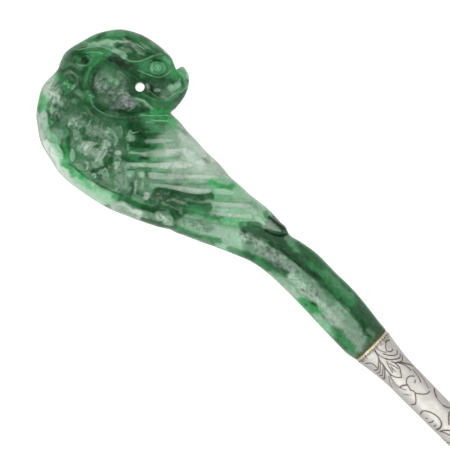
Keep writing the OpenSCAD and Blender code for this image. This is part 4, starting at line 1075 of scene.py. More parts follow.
class HairpinSilverSizes(bpy.types.PropertyGroup):
    """Sizes of the silver and of the lip"""

    lip_width: length_property("Lip width", 0.7, "Gilt strip between jade and silver")
    seat_gap: length_property("Seat gap", 0.05, "Clearance between seated faces")
    shank_length: length_property("Shank length", 115, "From the lip to the tip")
    shank_diameter: length_property("Shank diameter", 6.5, "Where the flared mouth ends")
    flare_length: length_property("Flare length", 8, "Length of the flared mouth")
    tip_diameter: length_property("Tip diameter", 4.4, "Just before the rounded tip")
    wall: length_property("Wall", 0.6, "Thickness of the silver")
    fit_gap: length_property("Fit gap", 0.1, "Clearance round the tenon")


class HairpinColours(bpy.types.PropertyGroup):
    """Colours of the stone and the metals"""

    ink: colour_property("Ink", "#030F06", "Black streaks")
    # Deep is also laid as painted shade in carved grooves, in hollows and round carved shapes
    deep: colour_property("Deep", "#05421B", "Darkest green, in veins and carved grooves")
    bottle: colour_property("Bottle", "#1E5930", "Dark green")
    green: colour_property("Green", "#398450", "Middle green")
    emerald: colour_property("Emerald", "#35A257", "Bright green spots")
    leaf: colour_property("Leaf", "#68B67F", "Light green")
    mint: colour_property("Mint", "#A1CFAD", "Pale green")
    milk: colour_property("Milk", "#DAE9DC", "Whitest stone")
    pearl: colour_property("Pearl", "#BDD0BF", "Pale greyed stone at the thin edges")
    mist: colour_property("Mist", "#73987C", "Greyed green")
    ash: colour_property("Ash", "#879A8B", "Grey of unpolished stone")
    smoke: colour_property("Smoke", "#3A5A41", "Dark grey green")
    lilac: colour_property("Lilac", "#72767A", "Lilac grey in the cheek")
    silver: colour_property("Silver", "#F7F4EF", "Polished silver")
    # Tarnish is also laid as painted shade beside the engraved lines
    tarnish: colour_property("Tarnish", "#6E6056", "Darkened lines of the engraving")
    gilt: colour_property("Gilt", "#DCD2AE", "Worn gilding")
    cement: colour_property("Cement", "#4E4A30", "Old cement in the joint")
    opal: colour_property("Opal", "#6C6C6A", "The floor's opal sheet")


def mount(name):
    """One of the part's mounts, as its record gives it."""
    return next(m for m in frame["record"]["mounts"] if m["name"] == name)


def pin_matrix(silver):
    """Turns the pin's own frame into the part's: mm along it, aside and up from the jade's end."""
    along = Vector(mount("shank")["axis"]).normalized()
    aside = Vector((0, 1, 0))
    up = along.cross(aside).normalized()
    low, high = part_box("gilt_lip")
    jade_end = (low + high) / 2 - along * (silver.seat_gap + silver.lip_width / 2)
    turn = Matrix((along, aside, up)).transposed().to_4x4()
    return Matrix.Translation(jade_end) @ turn @ Matrix.Scale(MM, 4)


def neck_diameter():
    """Diameter of the neck where it meets the lip, in mm."""
    low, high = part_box("gilt_lip")
    return (high.y - low.y) / MM


def on_bird(points, sizes):
    """Places in percent of the bird as mm along and aside of the pin."""
    points = np.asarray(points, float)
    width, height, neck_length = (v / MM for v in (sizes.bird_width, sizes.bird_height, sizes.neck_length))
    u = (points[..., 0] - RUMP[0]) * PERCENT * width
    v = (points[..., 1] - RUMP[1]) * PERCENT * height
    cos, sin = math.cos(sizes.pin_lean), math.sin(sizes.pin_lean)
    x = u * cos - v * sin - neck_length
    y = u * sin + v * cos + RUMP_ASIDE * PERCENT * neck_diameter()
    return np.stack([x, y], -1)


def curve(before, start, end, after, t):
    """A smooth curve from start to end that knows the points before and after them, for t from 0 to 1."""
    return 0.5 * (
        2 * start + (end - before) * t + (2 * before - 5 * start + 4 * end - after) * t**2
        + (3 * start - before - 3 * end + after) * t**3)


def steps(count):
    """Even steps from 0 on, the last of them one step short of 1."""
    return (np.arange(count) / count)[:, None]


def smooth_line(line, parts=4):
    """A smooth curve through the few points of a line."""
    line = np.asarray(line, float)
    if len(line) < 3:
        return line
    last = len(line) - 1
    pieces = [
        curve(line[max(i - 1, 0)], line[i], line[i + 1], line[min(i + 2, last)], steps(parts))
        for i in range(last)
    ]
    return np.concatenate([*pieces, line[last:]])


def rounded(outline, parts=4):
    """A closed outline of few points with its corners rounded."""
    count = len(outline)
    return np.concatenate([
        curve(*(outline[(i + k) % count] for k in (-1, 0, 1, 2)), steps(parts)) for i in range(count)
    ])


def fine_rungs(rungs):
    """Fine rungs on a smooth curve through the given ones."""
    last = len(rungs) - 1
    fine = []
    for i in range(last):
        start, end = rungs[i], rungs[i + 1]
        travel = np.linalg.norm((end - start)[:6].reshape(3, 2), axis=1).mean()
        step = JADE_NECK_STEP if i < len(NECK_SECTIONS) - 1 else JADE_BIRD_STEP
        count = max(1, math.ceil(travel / step))
        fine.append(curve(rungs[max(i - 1, 0)], start, end, rungs[min(i + 2, last)], steps(count)))
    return np.concatenate([*fine, rungs[last:]])


def jade_rungs(sizes):
    """Rungs of the neck, then of the bird: left end, middle, right end and thickness, in mm."""
    neck_length, diameter = sizes.neck_length / MM, neck_diameter()
    rungs = []
    for along, offset, wide, thick in NECK_SECTIONS:
        x, y = -along * PERCENT * neck_length, offset * PERCENT * diameter
        half = wide * PERCENT * diameter / 2
        rungs.append([x, y - half, x, y, x, y + half, thick * PERCENT * diameter])
    for row in BIRD_RUNGS:
        ends = on_bird(np.array(row[:6]).reshape(3, 2), sizes).ravel()
        rungs.append([*ends, row[6] * PERCENT * sizes.bird_thickness / MM])
    rungs = fine_rungs(np.array(rungs))
    for end in (slice(0, 2), slice(4, 6)):
        outwards = rungs[:, end] - rungs[:, 2:4]
        outwards /= np.maximum(np.linalg.norm(outwards, axis=1), TINY)[:, None]
        for place, half, push in OUTLINE_SWELLS:
            share = np.linalg.norm(rungs[:, end] - on_bird(place, sizes), axis=1) / half
            rungs[:, end] += outwards * (push * bump(share))[:, None]
    return rungs


def line_distance(points, line, reach):
    """Distance of each point from a line of straight stretches, up to the reach."""
    line = np.asarray(line, float)
    nearest = np.full(len(points), float(reach))
    low, high = line.min(0) - reach, line.max(0) + reach
    near = np.flatnonzero(((points > low) & (points < high)).all(1))
    found = points[near]
    best = nearest[near]
    for a, b in zip(line[:-1], line[1:]):
        ab = b - a
        t = np.clip((found - a) @ ab / (ab @ ab), 0, 1)
        best = np.minimum(best, np.linalg.norm(found - a - t[:, None] * ab, axis=1))
    nearest[near] = best
    return nearest


def bump(share):
    """1 in the middle and 0 from a share of 1 on."""
    return np.where(share < 1, (1 + np.cos(np.pi * np.clip(share, 0, 1))) / 2, 0)


def mesa(share, flat):
    """Like bump, with a flat middle."""
    return bump(np.maximum(share - flat, 0) / (1 - flat))


def oval_share(points, middle, half, turn):
    """How far out of an oval each point lies: 0 in its middle and 1 on its rim."""
    gap = points - middle
    cos, sin = math.cos(turn), math.sin(turn)
    u = gap[:, 0] * cos + gap[:, 1] * sin
    v = gap[:, 1] * cos - gap[:, 0] * sin
    return np.hypot(u / half[0], v / half[1])


def cloud(points, size, seed, octaves=3):
    """Smooth noise from -1 to 1 whose largest features are about the size."""
    table = np.random.default_rng(seed).uniform(-1, 1, NOISE_VALUES)
    strides = np.array(NOISE_STRIDES)[: points.shape[1]]
    total, weight = np.zeros(len(points)), 0.0
    for octave in range(octaves):
        places = points / size * 2**octave + NOISE_SHIFT * octave
        cell = np.floor(places).astype(np.int64)
        part = places - cell
        part = part * part * (3 - 2 * part)
        value = np.zeros(len(points))
        for corner in itertools.product((0, 1), repeat=points.shape[1]):
            side = np.array(corner)
            blend = np.where(side, part, 1 - part).prod(1)
            value += blend * table[((cell + side) @ strides) % len(table)]
        total += value * 0.5**octave
        weight += 0.5**octave
    return total / weight


def stroke_share(points, places, half, sizes):
    """How far from a stroke's middle line each point lies: 0 on it and 1 at its edge."""
    return line_distance(points, smooth_line(on_bird(places, sizes)), half) / half


def depth_inside(points, outline, soft):
    """0 outside a closed outline, and 1 from the soft edge's width inwards."""
    ring = np.array([*outline, outline[0]])
    inside = np.zeros(len(points))
    low, high = ring.min(0), ring.max(0)
    near = np.flatnonzero(((points > low) & (points < high)).all(1))
    found = points[near]
    within = np.zeros(len(near), bool)
    for (ax, ay), (bx, by) in zip(ring[:-1], ring[1:]):
        crosses = (ay > found[:, 1]) != (by > found[:, 1])
        reach = ax + (bx - ax) * (found[:, 1] - ay) / (by - ay if by != ay else 1)
        within ^= crosses & (found[:, 0] < reach)
    inside[near] = np.where(within, line_distance(found, ring, soft) / soft, 0)
    return inside


def relief(points, sizes):
    """Height that the carving adds at points of either face, in mm."""
    height = np.zeros(len(points))
    for line, half, rise, *_ in CARVED_LINES:
        height += rise * bump(stroke_share(points, line, half, sizes))
    for rise, _, _, _, *outline in CARVED_SHAPES:
        inside = depth_inside(points, rounded(on_bird(outline, sizes)), SHAPE_EDGE)
        height += rise * (1 - bump(inside))
    for x, y, rx, ry, turn, rise, flat in SWELLS:
        share = oval_share(points, on_bird((x, y), sizes), (rx, ry), math.radians(turn) + sizes.pin_lean)
        height += rise * mesa(share, flat)
    eye = oval_share(points, on_bird(EYE_MIDDLE, sizes), EYE_HALF, sizes.pin_lean)
    height += EYE_RING_RISE * np.cos(eye * 2 * EYE_RINGS * np.pi) * (eye < 1)
    return height


def roughness_of_carving(points, sizes):
    """1 where the stone was left unpolished, and 0 where it was polished."""
    matt = np.zeros(len(points))
    for strength, half, *places in ROUGH_PATCHES:
        matt = np.maximum(matt, strength * mesa(stroke_share(points, places, half, sizes), PATCH_FLAT))
    return matt


def stone_colours(points, sizes, colours):
    """The stone's own colour at each point, stroke over stroke, with ragged edges."""
    plan = points[:, :2]
    broad, fine = (
        np.stack([cloud(points, size, seed) for seed in seeds], 1) for size, *seeds in STONE_NOISES)
    made = np.tile(np.array(colours.bottle[:]), (len(points), 1))

    def lay(tint, strength):
        """Lays a tint over what is there."""
        made[:] += (np.array(getattr(colours, tint)[:]) - made) * strength[:, None]

    for tint, half, strength, *places in STONE_STROKES:
        shift = broad * min(half, BROAD_WIDEST) * BROAD_WAVER + fine * min(half, FINE_WIDEST) * FINE_WAVER
        share = stroke_share(plan + shift, places, half * STROKE_SPREAD, sizes)
        lay(tint, strength * mesa(share, STROKE_FLAT))

    grain = GRAIN_MEAN + GRAIN_SWING * fine[:, 0]
    for rise, tint, strength, pale, *outline in CARVED_SHAPES:
        edge = rounded(on_bird(outline, sizes))
        # Painted shade: a dark line round the carved shape
        ring = line_distance(plan, np.array([*edge, edge[0]]), SHADE_RING_HALF) / SHADE_RING_HALF
        lay("bottle", (RAISED_SHADE_RING if rise > 0 else HOLLOW_SHADE_RING) * strength * bump(ring))
        inside = strength * grain * (1 - bump(depth_inside(plan + fine * SHAPE_WAVER, edge, TINT_EDGE)))
        lay(tint, inside)
        lowest, highest = edge[:, 0].min(), edge[:, 0].max()
        lay("milk", inside * pale * np.clip((points[:, 0] - lowest) / (highest - lowest), 0, 1))
    # Tints of the carved lines: partly the stone's colour, partly painted shade in grooves and painted
    # highlights on ridges
    for line, _, _, tint, half, strength in CARVED_LINES:
        lay(tint, strength * bump(stroke_share(plan, line, half, sizes)))

    matt = roughness_of_carving(plan, sizes)
    specks = cloud(points, SPECK_SIZE, SPECK_SEED, 2) * (POLISHED_SPECKS + (1 - POLISHED_SPECKS) * matt)
    for tint, gain, most in SPECK_TINTS:
        lay(tint, np.clip(gain * specks, 0, most))

    rungs = jade_rungs(sizes)
    rim = np.concatenate([rungs[::3, 0:2], rungs[::-3, 4:6]])
    # Painted glow of light through the thin edges, lightening the rim towards mist
    thin = bump(line_distance(plan, rim, THIN_EDGE) / THIN_EDGE) * (THIN_MEAN + THIN_SWING * fine[:, 1])
    made += (np.maximum(made, colours.mist[:]) - made) * (PAINTED_GLOW_STRENGTH * thin)[:, None]
    for tint, half, strength, *places in SHARP_STROKES:
        share = stroke_share(plan + fine * SHARP_WAVER, places, half, sizes)
        lay(tint, strength * mesa(share, STROKE_FLAT))

    side = (1 - line_distance(plan, rim, SIDE_REACH) / SIDE_REACH) ** 0.5
    side *= np.clip((SIDE_HALF - np.abs(points[:, 2])) / (0.5 * SIDE_HALF), 0, 1)
    for tint, mean, gain, noise, most in SIDE_TINTS:
        lay(tint, side * np.clip(mean + gain * broad[:, noise], 0, most))
    stain = (plan[:, 0] + JOINT_STAIN) / JOINT_STAIN_FADE + JOINT_STAIN_WAVER * fine[:, 0]
    lay("cement", JOINT_STAIN_STRENGTH * np.clip(stain, 0, 1))
    return made


def mesh_object(name, vertices, faces, place):
    """A new smooth-shaded object with a mesh of these vertices, in the part's frame."""
    mesh = bpy.data.meshes.new(name)
    mesh.from_pydata([tuple(v) for v in vertices], [], faces)
    mesh.transform(place)
    mesh.validate()
    mesh.update()
    mesh.shade_smooth()
    made = bpy.data.objects.new(name, mesh)
    bpy.context.scene.collection.objects.link(made)
    return made


def pin_points(made, place):
    """The object's vertices back in the pin's own frame, in mm."""
    flat = np.empty(len(made.data.vertices) * 3)
    made.data.vertices.foreach_get("co", flat)
    back = np.array(place.inverted())
    return flat.reshape(-1, 3) @ back[:3, :3].T + back[:3, 3]


def keep_values(made, name, values, kind="FLOAT"):
    """Stores one value or one colour for each vertex."""
    stored = made.data.attributes.new(name, kind, "POINT")
    if kind == "FLOAT_COLOR":
        values = np.column_stack([values, np.ones(len(values))])
        stored.data.foreach_set("color", values.astype(np.float32).ravel())
    else:
        stored.data.foreach_set("value", values.astype(np.float32))


def ring_faces(rings, ring):
    """Quads between rings of equally many vertices."""
    return [
        (i * ring + j, (i + 1) * ring + j, (i + 1) * ring + (j + 1) % ring, i * ring + (j + 1) % ring)
        for i in range(rings - 1) for j in range(ring)
    ]


def capped_faces(rings, ring):
    """Quads between rings, closed with triangles round the first vertex and the last."""
    last = 1 + ring * (rings - 1)
    faces = [tuple(1 + v for v in f) for f in ring_faces(rings, ring)]
    faces += [(0, 1 + j, 1 + (j + 1) % ring) for j in range(ring)]
    faces += [(last + (j + 1) % ring, last + j, last + ring) for j in range(ring)]
    return faces


def shank_start(silver):
    """Where the silver begins, in metres from the jade's end."""
    return silver.lip_width + 2 * silver.seat_gap


def shank_radius(silver, along):
    """Outer radius of the silver in mm, at a distance in metres from its mouth."""
    mouth, body, tip = neck_diameter() / 2, silver.shank_diameter / MM / 2, silver.tip_diameter / MM / 2
    flare = np.clip(1 - np.asarray(along, float) / silver.flare_length, 0, 1) ** FLARE_POWER
    taper = np.clip((along - silver.flare_length) / (silver.shank_length - silver.flare_length), 0, 1)
    return body + (mouth - body) * flare + (tip - body) * taper


def socket(sizes, silver):
    """Length in metres and radius in mm of the tenon's room inside the silver."""
    length = silver.fit_gap + sizes.tenon_length - shank_start(silver)
    return length, float(shank_radius(silver, length)) - silver.wall / MM


def across(count):
    """Places across a rung, closer together near its rounded ends."""
    even = np.arange(count + 1) / count
    return even * (1 - SOFT_EDGE) + (1 - np.cos(np.pi * even)) / 2 * SOFT_EDGE


def jade_face(rungs, columns, side, sizes):
    """Points of one carved face, rung by rung: side is 1 for the upper face and -1 for the lower."""
    s = across(columns)[None, :, None]
    left, middle, right = (rungs[:, None, k : k + 2] for k in (0, 2, 4))
    plan = left * (1 - s) * (1 - 2 * s) + middle * 4 * s * (1 - s) + right * s * (2 * s - 1)
    width = np.linalg.norm(rungs[:, 4:6] - rungs[:, 0:2], axis=1)[:, None]
    s = s[..., 0]
    inset = np.minimum(s, 1 - s) * width
    rounding = np.maximum(np.minimum(sizes.edge_rounding / MM, width / 2), LEAST_ROUNDING)
    fall = 1 - np.minimum(inset / rounding, 1)
    base = rungs[:, 6:7] / 2 * np.sqrt(1 - fall**2)
    swell = 1 + DOME * (1 - (2 * s - 1) ** 2) * np.minimum(1, width / (sizes.bird_width / MM))
    carved = relief(plan.reshape(-1, 2), sizes).reshape(fall.shape)
    height = base * swell + carved * np.sqrt(1 - fall)
    return np.dstack([plan, side * height])


def jade_mesh(sizes, silver, place):
    """The bird, its neck and the hidden tenon as one closed mesh."""
    rungs = jade_rungs(sizes)[:-1]
    upper = jade_face(rungs, UPPER_COLUMNS, 1, sizes)
    lower = jade_face(rungs, LOWER_COLUMNS, -1, sizes)[:, -2:0:-1]
    rings = np.concatenate([upper, lower], axis=1)
    ring = rings.shape[1]
    _, socket_radius = socket(sizes, silver)
    tenon_length, tenon_radius = sizes.tenon_length / MM, socket_radius - silver.fit_gap / MM
    tenon = rings[0] / np.linalg.norm(rings[0], axis=1)[:, None] * tenon_radius
    beak_tip = [*on_bird(BIRD_RUNGS[-1][:2], sizes), 0.0]
    vertices = np.concatenate([
        [(tenon_length, 0, 0)], tenon + (tenon_length, 0, 0), tenon, rings.reshape(-1, 3), [beak_tip]])
    return mesh_object("jade_bird", vertices, capped_faces(len(rings) + 2, ring), place)


def drill(made, sizes, place):
    """Cuts the round hole through the bird behind its beak."""
    radius = mount("beak_hole")["dims"]["r_mm"]
    middle = on_bird(HOLE_AT, sizes)
    work = bmesh.new()
    bmesh.ops.create_cone(
        work, cap_ends=True, segments=HOLE_SIDES, radius1=radius, radius2=radius,
        depth=2 * sizes.bird_thickness / MM, matrix=Matrix.Translation((*middle, 0)))
    cutter = bpy.data.meshes.new("hole_drill")
    work.to_mesh(cutter)
    work.clear()
    cutter.transform(place)
    tool = bpy.data.objects.new("hole_drill", cutter)
    bpy.context.scene.collection.objects.link(tool)
    cut = made.modifiers.new("hole", "BOOLEAN")
    cut.operation = "DIFFERENCE"
    cut.solver = "EXACT"
    cut.object = tool
    drilled = bpy.data.meshes.new_from_object(made.evaluated_get(bpy.context.evaluated_depsgraph_get()))
    made.modifiers.clear()
    made.data = drilled
    bpy.data.objects.remove(tool)
    work.from_mesh(drilled)
    back = place.inverted()
    rim = [v for v in work.verts if math.dist((back @ v.co)[:2], middle) < radius + RIM_JOIN]
    bmesh.ops.remove_doubles(work, verts=rim, dist=RIM_JOIN * MM)
    work.to_mesh(drilled)
    work.free()


def on_pin(x, radius, angle):
    """Points so far along the pin, at a radius and an angle round it, in mm."""
    return np.stack(np.broadcast_arrays(x, radius * np.sin(angle), radius * np.cos(angle)), -1)


def scroll_distance(x, angle, radius):
    """Distance from the nearest engraved line, measured on the silver's surface, in mm."""
    nearest = np.full(len(x), CHASED_REACH)
    for weight, *line in ENGRAVED_LINES:
        line = smooth_line(line, 5)
        line_radius = np.interp(line[:, 0], x[::SHANK_COLUMNS], radius[::SHANK_COLUMNS])
        bend = np.arcsin(np.clip(line[:, 1] / line_radius, -BEND_LIMIT, BEND_LIMIT))
        for half_turn in (0, math.pi):
            for shift in (0.0, SCROLL_REPEAT):
                gap = (angle - half_turn + math.pi) % (2 * math.pi) - math.pi
                spread = np.column_stack([x, gap * radius])
                route = np.column_stack([line[:, 0] + shift, bend * line_radius])
                if route[:, 0].max() < SCROLL_END - 1:
                    nearest = np.minimum(nearest, line_distance(spread, route, CHASED_REACH) / weight)
    for before_end in TURNED_LINES:
        nearest = np.minimum(nearest, np.abs(x - (SCROLL_END - before_end)))
    return nearest


def shank_mesh(sizes, silver, place):
    """The silver tube: chased outside, closed with a round tip, and open inside for the tenon."""
    start, length = shank_start(silver) / MM, silver.shank_length
    tip_length = silver.tip_diameter * TIP_SHARE
    tip_start = length - tip_length
    scroll = np.linspace(0, SCROLL_END * MM, SCROLL_ROWS + 1)
    plain = np.linspace(SCROLL_END * MM, tip_start, PLAIN_ROWS + 1)[1:]
    tip = tip_start + tip_length * np.sin(np.linspace(0, math.pi / 2, TIP_ROWS + 1)[1:-1])
    along = np.concatenate([scroll, plain, tip])
    past = np.clip((along - tip_start) / tip_length, 0, 1)
    radius = shank_radius(silver, along) * np.sqrt(1 - past**2)
    turn = np.linspace(0, 2 * math.pi, SHANK_COLUMNS, endpoint=False)
    x = np.repeat(along / MM, SHANK_COLUMNS)
    angle = np.tile(turn, len(along))
    around = np.repeat(radius, SHANK_COLUMNS)
    distance = scroll_distance(x + start, angle, around)
    around = around - CHASED_DEPTH * bump(distance / CHASED_HALF)
    outside = on_pin(x, around, angle)

    socket_length, socket_radius = socket(sizes, silver)
    inner_end = tip_start / MM
    inner_radius = float(shank_radius(silver, tip_start)) - silver.wall / MM
    inside = [
        on_pin(inner_end, inner_radius, turn),
        on_pin(socket_length / MM, socket_radius, turn),
        on_pin(0.0, socket_radius, turn),
    ]
    vertices = np.concatenate([[(inner_end, 0, 0)], *inside, outside, [(length / MM, 0, 0)]])
    vertices[:, 0] += start
    faces = capped_faces(len(inside) + len(along), SHANK_COLUMNS)
    made = mesh_object("silver_tube", vertices, faces, place)
    unmarked = np.full(1 + len(inside) * SHANK_COLUMNS, CHASED_REACH)
    keep_values(made, "line_gap", np.concatenate([unmarked, distance, [CHASED_REACH]]))
    keep_values(made, "from_mouth", pin_points(made, place)[:, 0] - start)
    return made


def lip_notches(turn):
    """How deep the small cuts in the lip's silver side are at each angle, from 0 to 1."""
    return 0.5 + 0.5 * np.cos(turn * NOTCHES + NOTCH_WAVER * np.sin(turn * NOTCH_WAVES))


def lip_mesh(sizes, silver, place):
    """The gilt lip: a thin dark joint, then a collar cut with small notches."""
    outer = neck_diameter() / 2
    _, inner = socket(sizes, silver)
    stations = [(x, outer - inset, cut) for x, inset, cut in LIP_PROFILE]
    stations = [(0.0, inner, 0.0), *stations, (LIP_PROFILE[-1][0], inner, 0.0)]
    turn = np.linspace(0, 2 * math.pi, LIP_COLUMNS, endpoint=False)
    scale = silver.lip_width / MM / LIP_PROFILE[-1][0]
    rings = [
        on_pin(silver.seat_gap / MM + x * scale, radius - cut * lip_notches(turn), turn)
        for x, radius, cut in stations
    ]
    last = LIP_COLUMNS * (len(rings) - 1)
    faces = ring_faces(len(rings), LIP_COLUMNS)
    faces += [(last + j, j, (j + 1) % LIP_COLUMNS, last + (j + 1) % LIP_COLUMNS) for j in range(LIP_COLUMNS)]
    return mesh_object("gilt_collar", np.concatenate(rings), faces, place)


def finish_piece(made, edge, material, slot, *nodes):
    """Gives a piece its edges and finish, and puts it in the place of its solids."""
    made.data.set_sharp_from_angle(angle=edge)
    made.data.materials.clear()
    made.data.materials.append(material)
    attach(made, BODY)
    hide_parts(*nodes)


def add_node(tree, kind, inputs=None, **settings):
    """Adds a node with its settings and links. A node as an input stands for its first enabled output."""
    made = tree.nodes.new("ShaderNode" + kind)
    for name, value in settings.items():
        setattr(made, name, value)
    for socket_name, value in (inputs or {}).items():
        if isinstance(value, bpy.types.Node):
            value = next(output for output in value.outputs if output.enabled)
        if isinstance(value, bpy.types.NodeSocket):
            tree.links.new(value, made.inputs[socket_name])
        else:
            made.inputs[socket_name].default_value = value
    return made


def new_material(name):
    """A new material, and its emptied node tree."""
    material = bpy.data.materials.new(name)
    material.use_nodes = True
    material.node_tree.nodes.clear()
    return material, material.node_tree


def opaque(colour):
    """A colour with a full alpha, as a node's colour socket takes it."""
    return (*colour, 1)


def jade_material(colours):
    """Jadeite, cut and polished: a deep soft green glass-hard stone, clouded inside and faintly pitted."""
    material, tree = new_material("polished_jadeite")
    place = add_node(tree, "TexCoord").outputs["Object"]
    paint = add_node(tree, "Attribute", attribute_name="stone_colour").outputs["Color"]
    matt = add_node(tree, "Attribute", attribute_name="unpolished").outputs["Fac"]
    clouds, flecks, swell, grain = (
        add_node(tree, "TexNoise", {
            "Vector": place, "Scale": 1 / (size * MM), "Detail": detail, "Roughness": rough,
            "Distortion": twist})
        for size, detail, rough, twist in JADE_NOISES)
    dark_share = add_node(tree, "MapRange", {
        "Value": clouds, "From Min": 0.5, "From Max": 0.72, "To Max": 0.45})
    darker = add_node(tree, "Mix", {
        "Factor": dark_share, MIX_A: paint, MIX_B: opaque(colours.deep)}, data_type="RGBA")
    light_share = add_node(tree, "MapRange", {
        "Value": clouds, "From Min": 0.47, "From Max": 0.28, "To Max": 0.12})
    lighter = add_node(tree, "Mix", {
        "Factor": light_share, MIX_A: darker, MIX_B: opaque(colours.leaf)}, data_type="RGBA")
    fleck_depth = add_node(tree, "MapRange", {"Value": matt, "To Min": 0.6, "To Max": 2})
    fleck_height = add_node(tree, "Math", {0: flecks, 1: 0.5}, operation="SUBTRACT")
    fleck_shade = add_node(tree, "Math", {0: fleck_height, 1: fleck_depth, 2: 1}, operation="MULTIPLY_ADD")
    stone = add_node(tree, "VectorMath", {0: lighter, 1: fleck_shade}, operation="MULTIPLY")
    rough = add_node(tree, "MapRange", {"Value": matt, "To Min": 0.16, "To Max": 0.5})
    grain_depth = add_node(tree, "MapRange", {"Value": matt, "To Min": 0.25, "To Max": 1.6})
    grain_height = add_node(tree, "Math", {0: grain, 1: grain_depth}, operation="MULTIPLY")
    height = add_node(tree, "Math", {0: swell, 1: grain_height}, operation="ADD")
    surface = add_node(tree, "Bump", {"Height": height, "Strength": 0.55, "Distance": 0.045 * MM})
    shader = add_node(tree, "BsdfPrincipled", {
        "Base Color": stone, "Roughness": rough, "IOR": 1.66, "Specular IOR Level": 0.1,
        "Normal": surface, "Subsurface Weight": 0.2, "Subsurface Radius": (0.5, 1, 0.6),
        "Subsurface Scale": 0.5 * MM})
    add_node(tree, "OutputMaterial", {"Surface": shader})
    return material


def silver_material(colours):
    """Sterling silver, chased by hand and rubbed bright: soft satin metal with brown dirt in its lines and
    painted shade beside them.
    """
    material, tree = new_material("chased_sterling_silver")
    place = add_node(tree, "TexCoord").outputs["Object"]
    gap = add_node(tree, "Attribute", attribute_name="line_gap").outputs["Fac"]
    from_mouth = add_node(tree, "Attribute", attribute_name="from_mouth").outputs["Fac"]
    wear, scratches, ragged = (
        add_node(tree, "TexNoise", {
            "Vector": place, "Scale": 1 / (size * MM), "Detail": detail, "Roughness": rough})
        for size, detail, rough in SILVER_NOISES)
    shade = add_node(tree, "MapRange", {
        "Value": wear, "From Min": 0.35, "From Max": 0.75, "To Min": 1, "To Max": 0.78})
    metal = add_node(tree, "VectorMath", {0: colours.silver[:], 1: shade}, operation="MULTIPLY")
    line = add_node(tree, "MapRange", {
        "Value": gap, "From Min": 0.04, "From Max": 0.18, "To Min": 1, "To Max": 0})
    # Painted shade in a soft band beside each chased line, over the tarnish in the line itself
    painted_line_shade = add_node(tree, "MapRange", {
        "Value": gap, "From Min": 0.1, "From Max": 0.6, "To Min": 0.26, "To Max": 0})
    line_dirt_and_shade = add_node(tree, "Math", {0: line, 1: painted_line_shade}, operation="MAXIMUM")
    mouth_gap = add_node(tree, "Math", {0: ragged, 1: 2.4, 2: from_mouth}, operation="MULTIPLY_ADD")
    mouth_dirt = add_node(tree, "MapRange", {
        "Value": mouth_gap, "From Min": 1.4, "From Max": 1.75, "To Min": 0.5, "To Max": 0})
    for dirt in (line_dirt_and_shade, mouth_dirt):
        metal = add_node(tree, "Mix", {
            "Factor": dirt, MIX_A: metal, MIX_B: opaque(colours.tarnish)}, data_type="RGBA")
    rough = add_node(tree, "MapRange", {
        "Value": wear, "From Min": 0.3, "From Max": 0.7, "To Min": 0.5, "To Max": 0.62})
    height = add_node(tree, "Math", {0: scratches, 1: wear}, operation="ADD")
    surface = add_node(tree, "Bump", {"Height": height, "Strength": 0.3, "Distance": 0.02 * MM})
    shader = add_node(tree, "BsdfPrincipled", {
        "Base Color": metal, "Metallic": 1, "Roughness": rough, "Normal": surface})
    add_node(tree, "OutputMaterial", {"Surface": shader})
    return material


def gilt_material(colours):
    """Fire gilding worn thin over silver: dull pale yellow, whiter where it is worn, brown in the joint."""
    material, tree = new_material("worn_fire_gilding")
    place = add_node(tree, "TexCoord").outputs["Object"]
    wear = add_node(tree, "TexNoise", {
        "Vector": place, "Scale": 1 / (0.8 * MM), "Detail": 4, "Roughness": 0.65})
    worn_share = add_node(tree, "MapRange", {
        "Value": wear, "From Min": 0.5, "From Max": 0.66, "To Max": 0.8})
    metal = add_node(tree, "Mix", {
        "Factor": worn_share, MIX_A: opaque(colours.gilt), MIX_B: opaque(colours.silver)}, data_type="RGBA")
    joint = add_node(tree, "Attribute", attribute_name="joint").outputs["Fac"]
    aged = add_node(tree, "Mix", {
        "Factor": joint, MIX_A: metal, MIX_B: opaque(colours.cement)}, data_type="RGBA")
    surface = add_node(tree, "Bump", {"Height": wear, "Strength": 0.4, "Distance": 0.03 * MM})
    shader = add_node(tree, "BsdfPrincipled", {
        "Base Color": aged, "Metallic": 0.9, "Roughness": 0.42, "Normal": surface})
    add_node(tree, "OutputMaterial", {"Surface": shader})
    return material


def opal_material(colours):
    """Opal acrylic, cast with a matt face and lit from behind: an even white that takes almost no shadow."""
    material, tree = new_material("backlit_opal_acrylic")
    place = add_node(tree, "TexCoord").outputs["Object"]
    # The matt face's tooth is finer in truth, and is drawn this coarse so that it shows
    tooth = add_node(tree, "TexNoise", {"Vector": place, "Scale": 1 / (0.8 * MM), "Detail": 2})
    surface = add_node(tree, "Bump", {"Height": tooth, "Strength": 0.05, "Distance": 0.02 * MM})
    shader = add_node(tree, "BsdfPrincipled", {
        "Base Color": opaque(colours.opal), "Roughness": 0.9, "Normal": surface, "Specular IOR Level": 0.1,
        "Emission Color": (1, 1, 1, 1), "Emission Strength": TABLE_STRENGTH})
    add_node(tree, "OutputMaterial", {"Surface": shader})
    return material


class HairpinJadeBird(bpy.types.Operator):
    """Builds the carved jade bird with its neck"""

    bl_idname = "hairpin.jade_bird"
    bl_label = "Jade bird"

    def execute(self, context):
        sizes, silver = context.scene.jade_sizes, context.scene.silver_sizes
        colours = context.scene.pin_colours
        place = pin_matrix(silver)
        bird = jade_mesh(sizes, silver, place)
        drill(bird, sizes, place)
        points = pin_points(bird, place)
        keep_values(bird, "stone_colour", stone_colours(points, sizes, colours), "FLOAT_COLOR")
        keep_values(bird, "unpolished", roughness_of_carving(points[:, :2], sizes))
        finish_piece(bird, JADE_EDGE, jade_material(colours), "jade", "bird_finial")
        return {"FINISHED"}


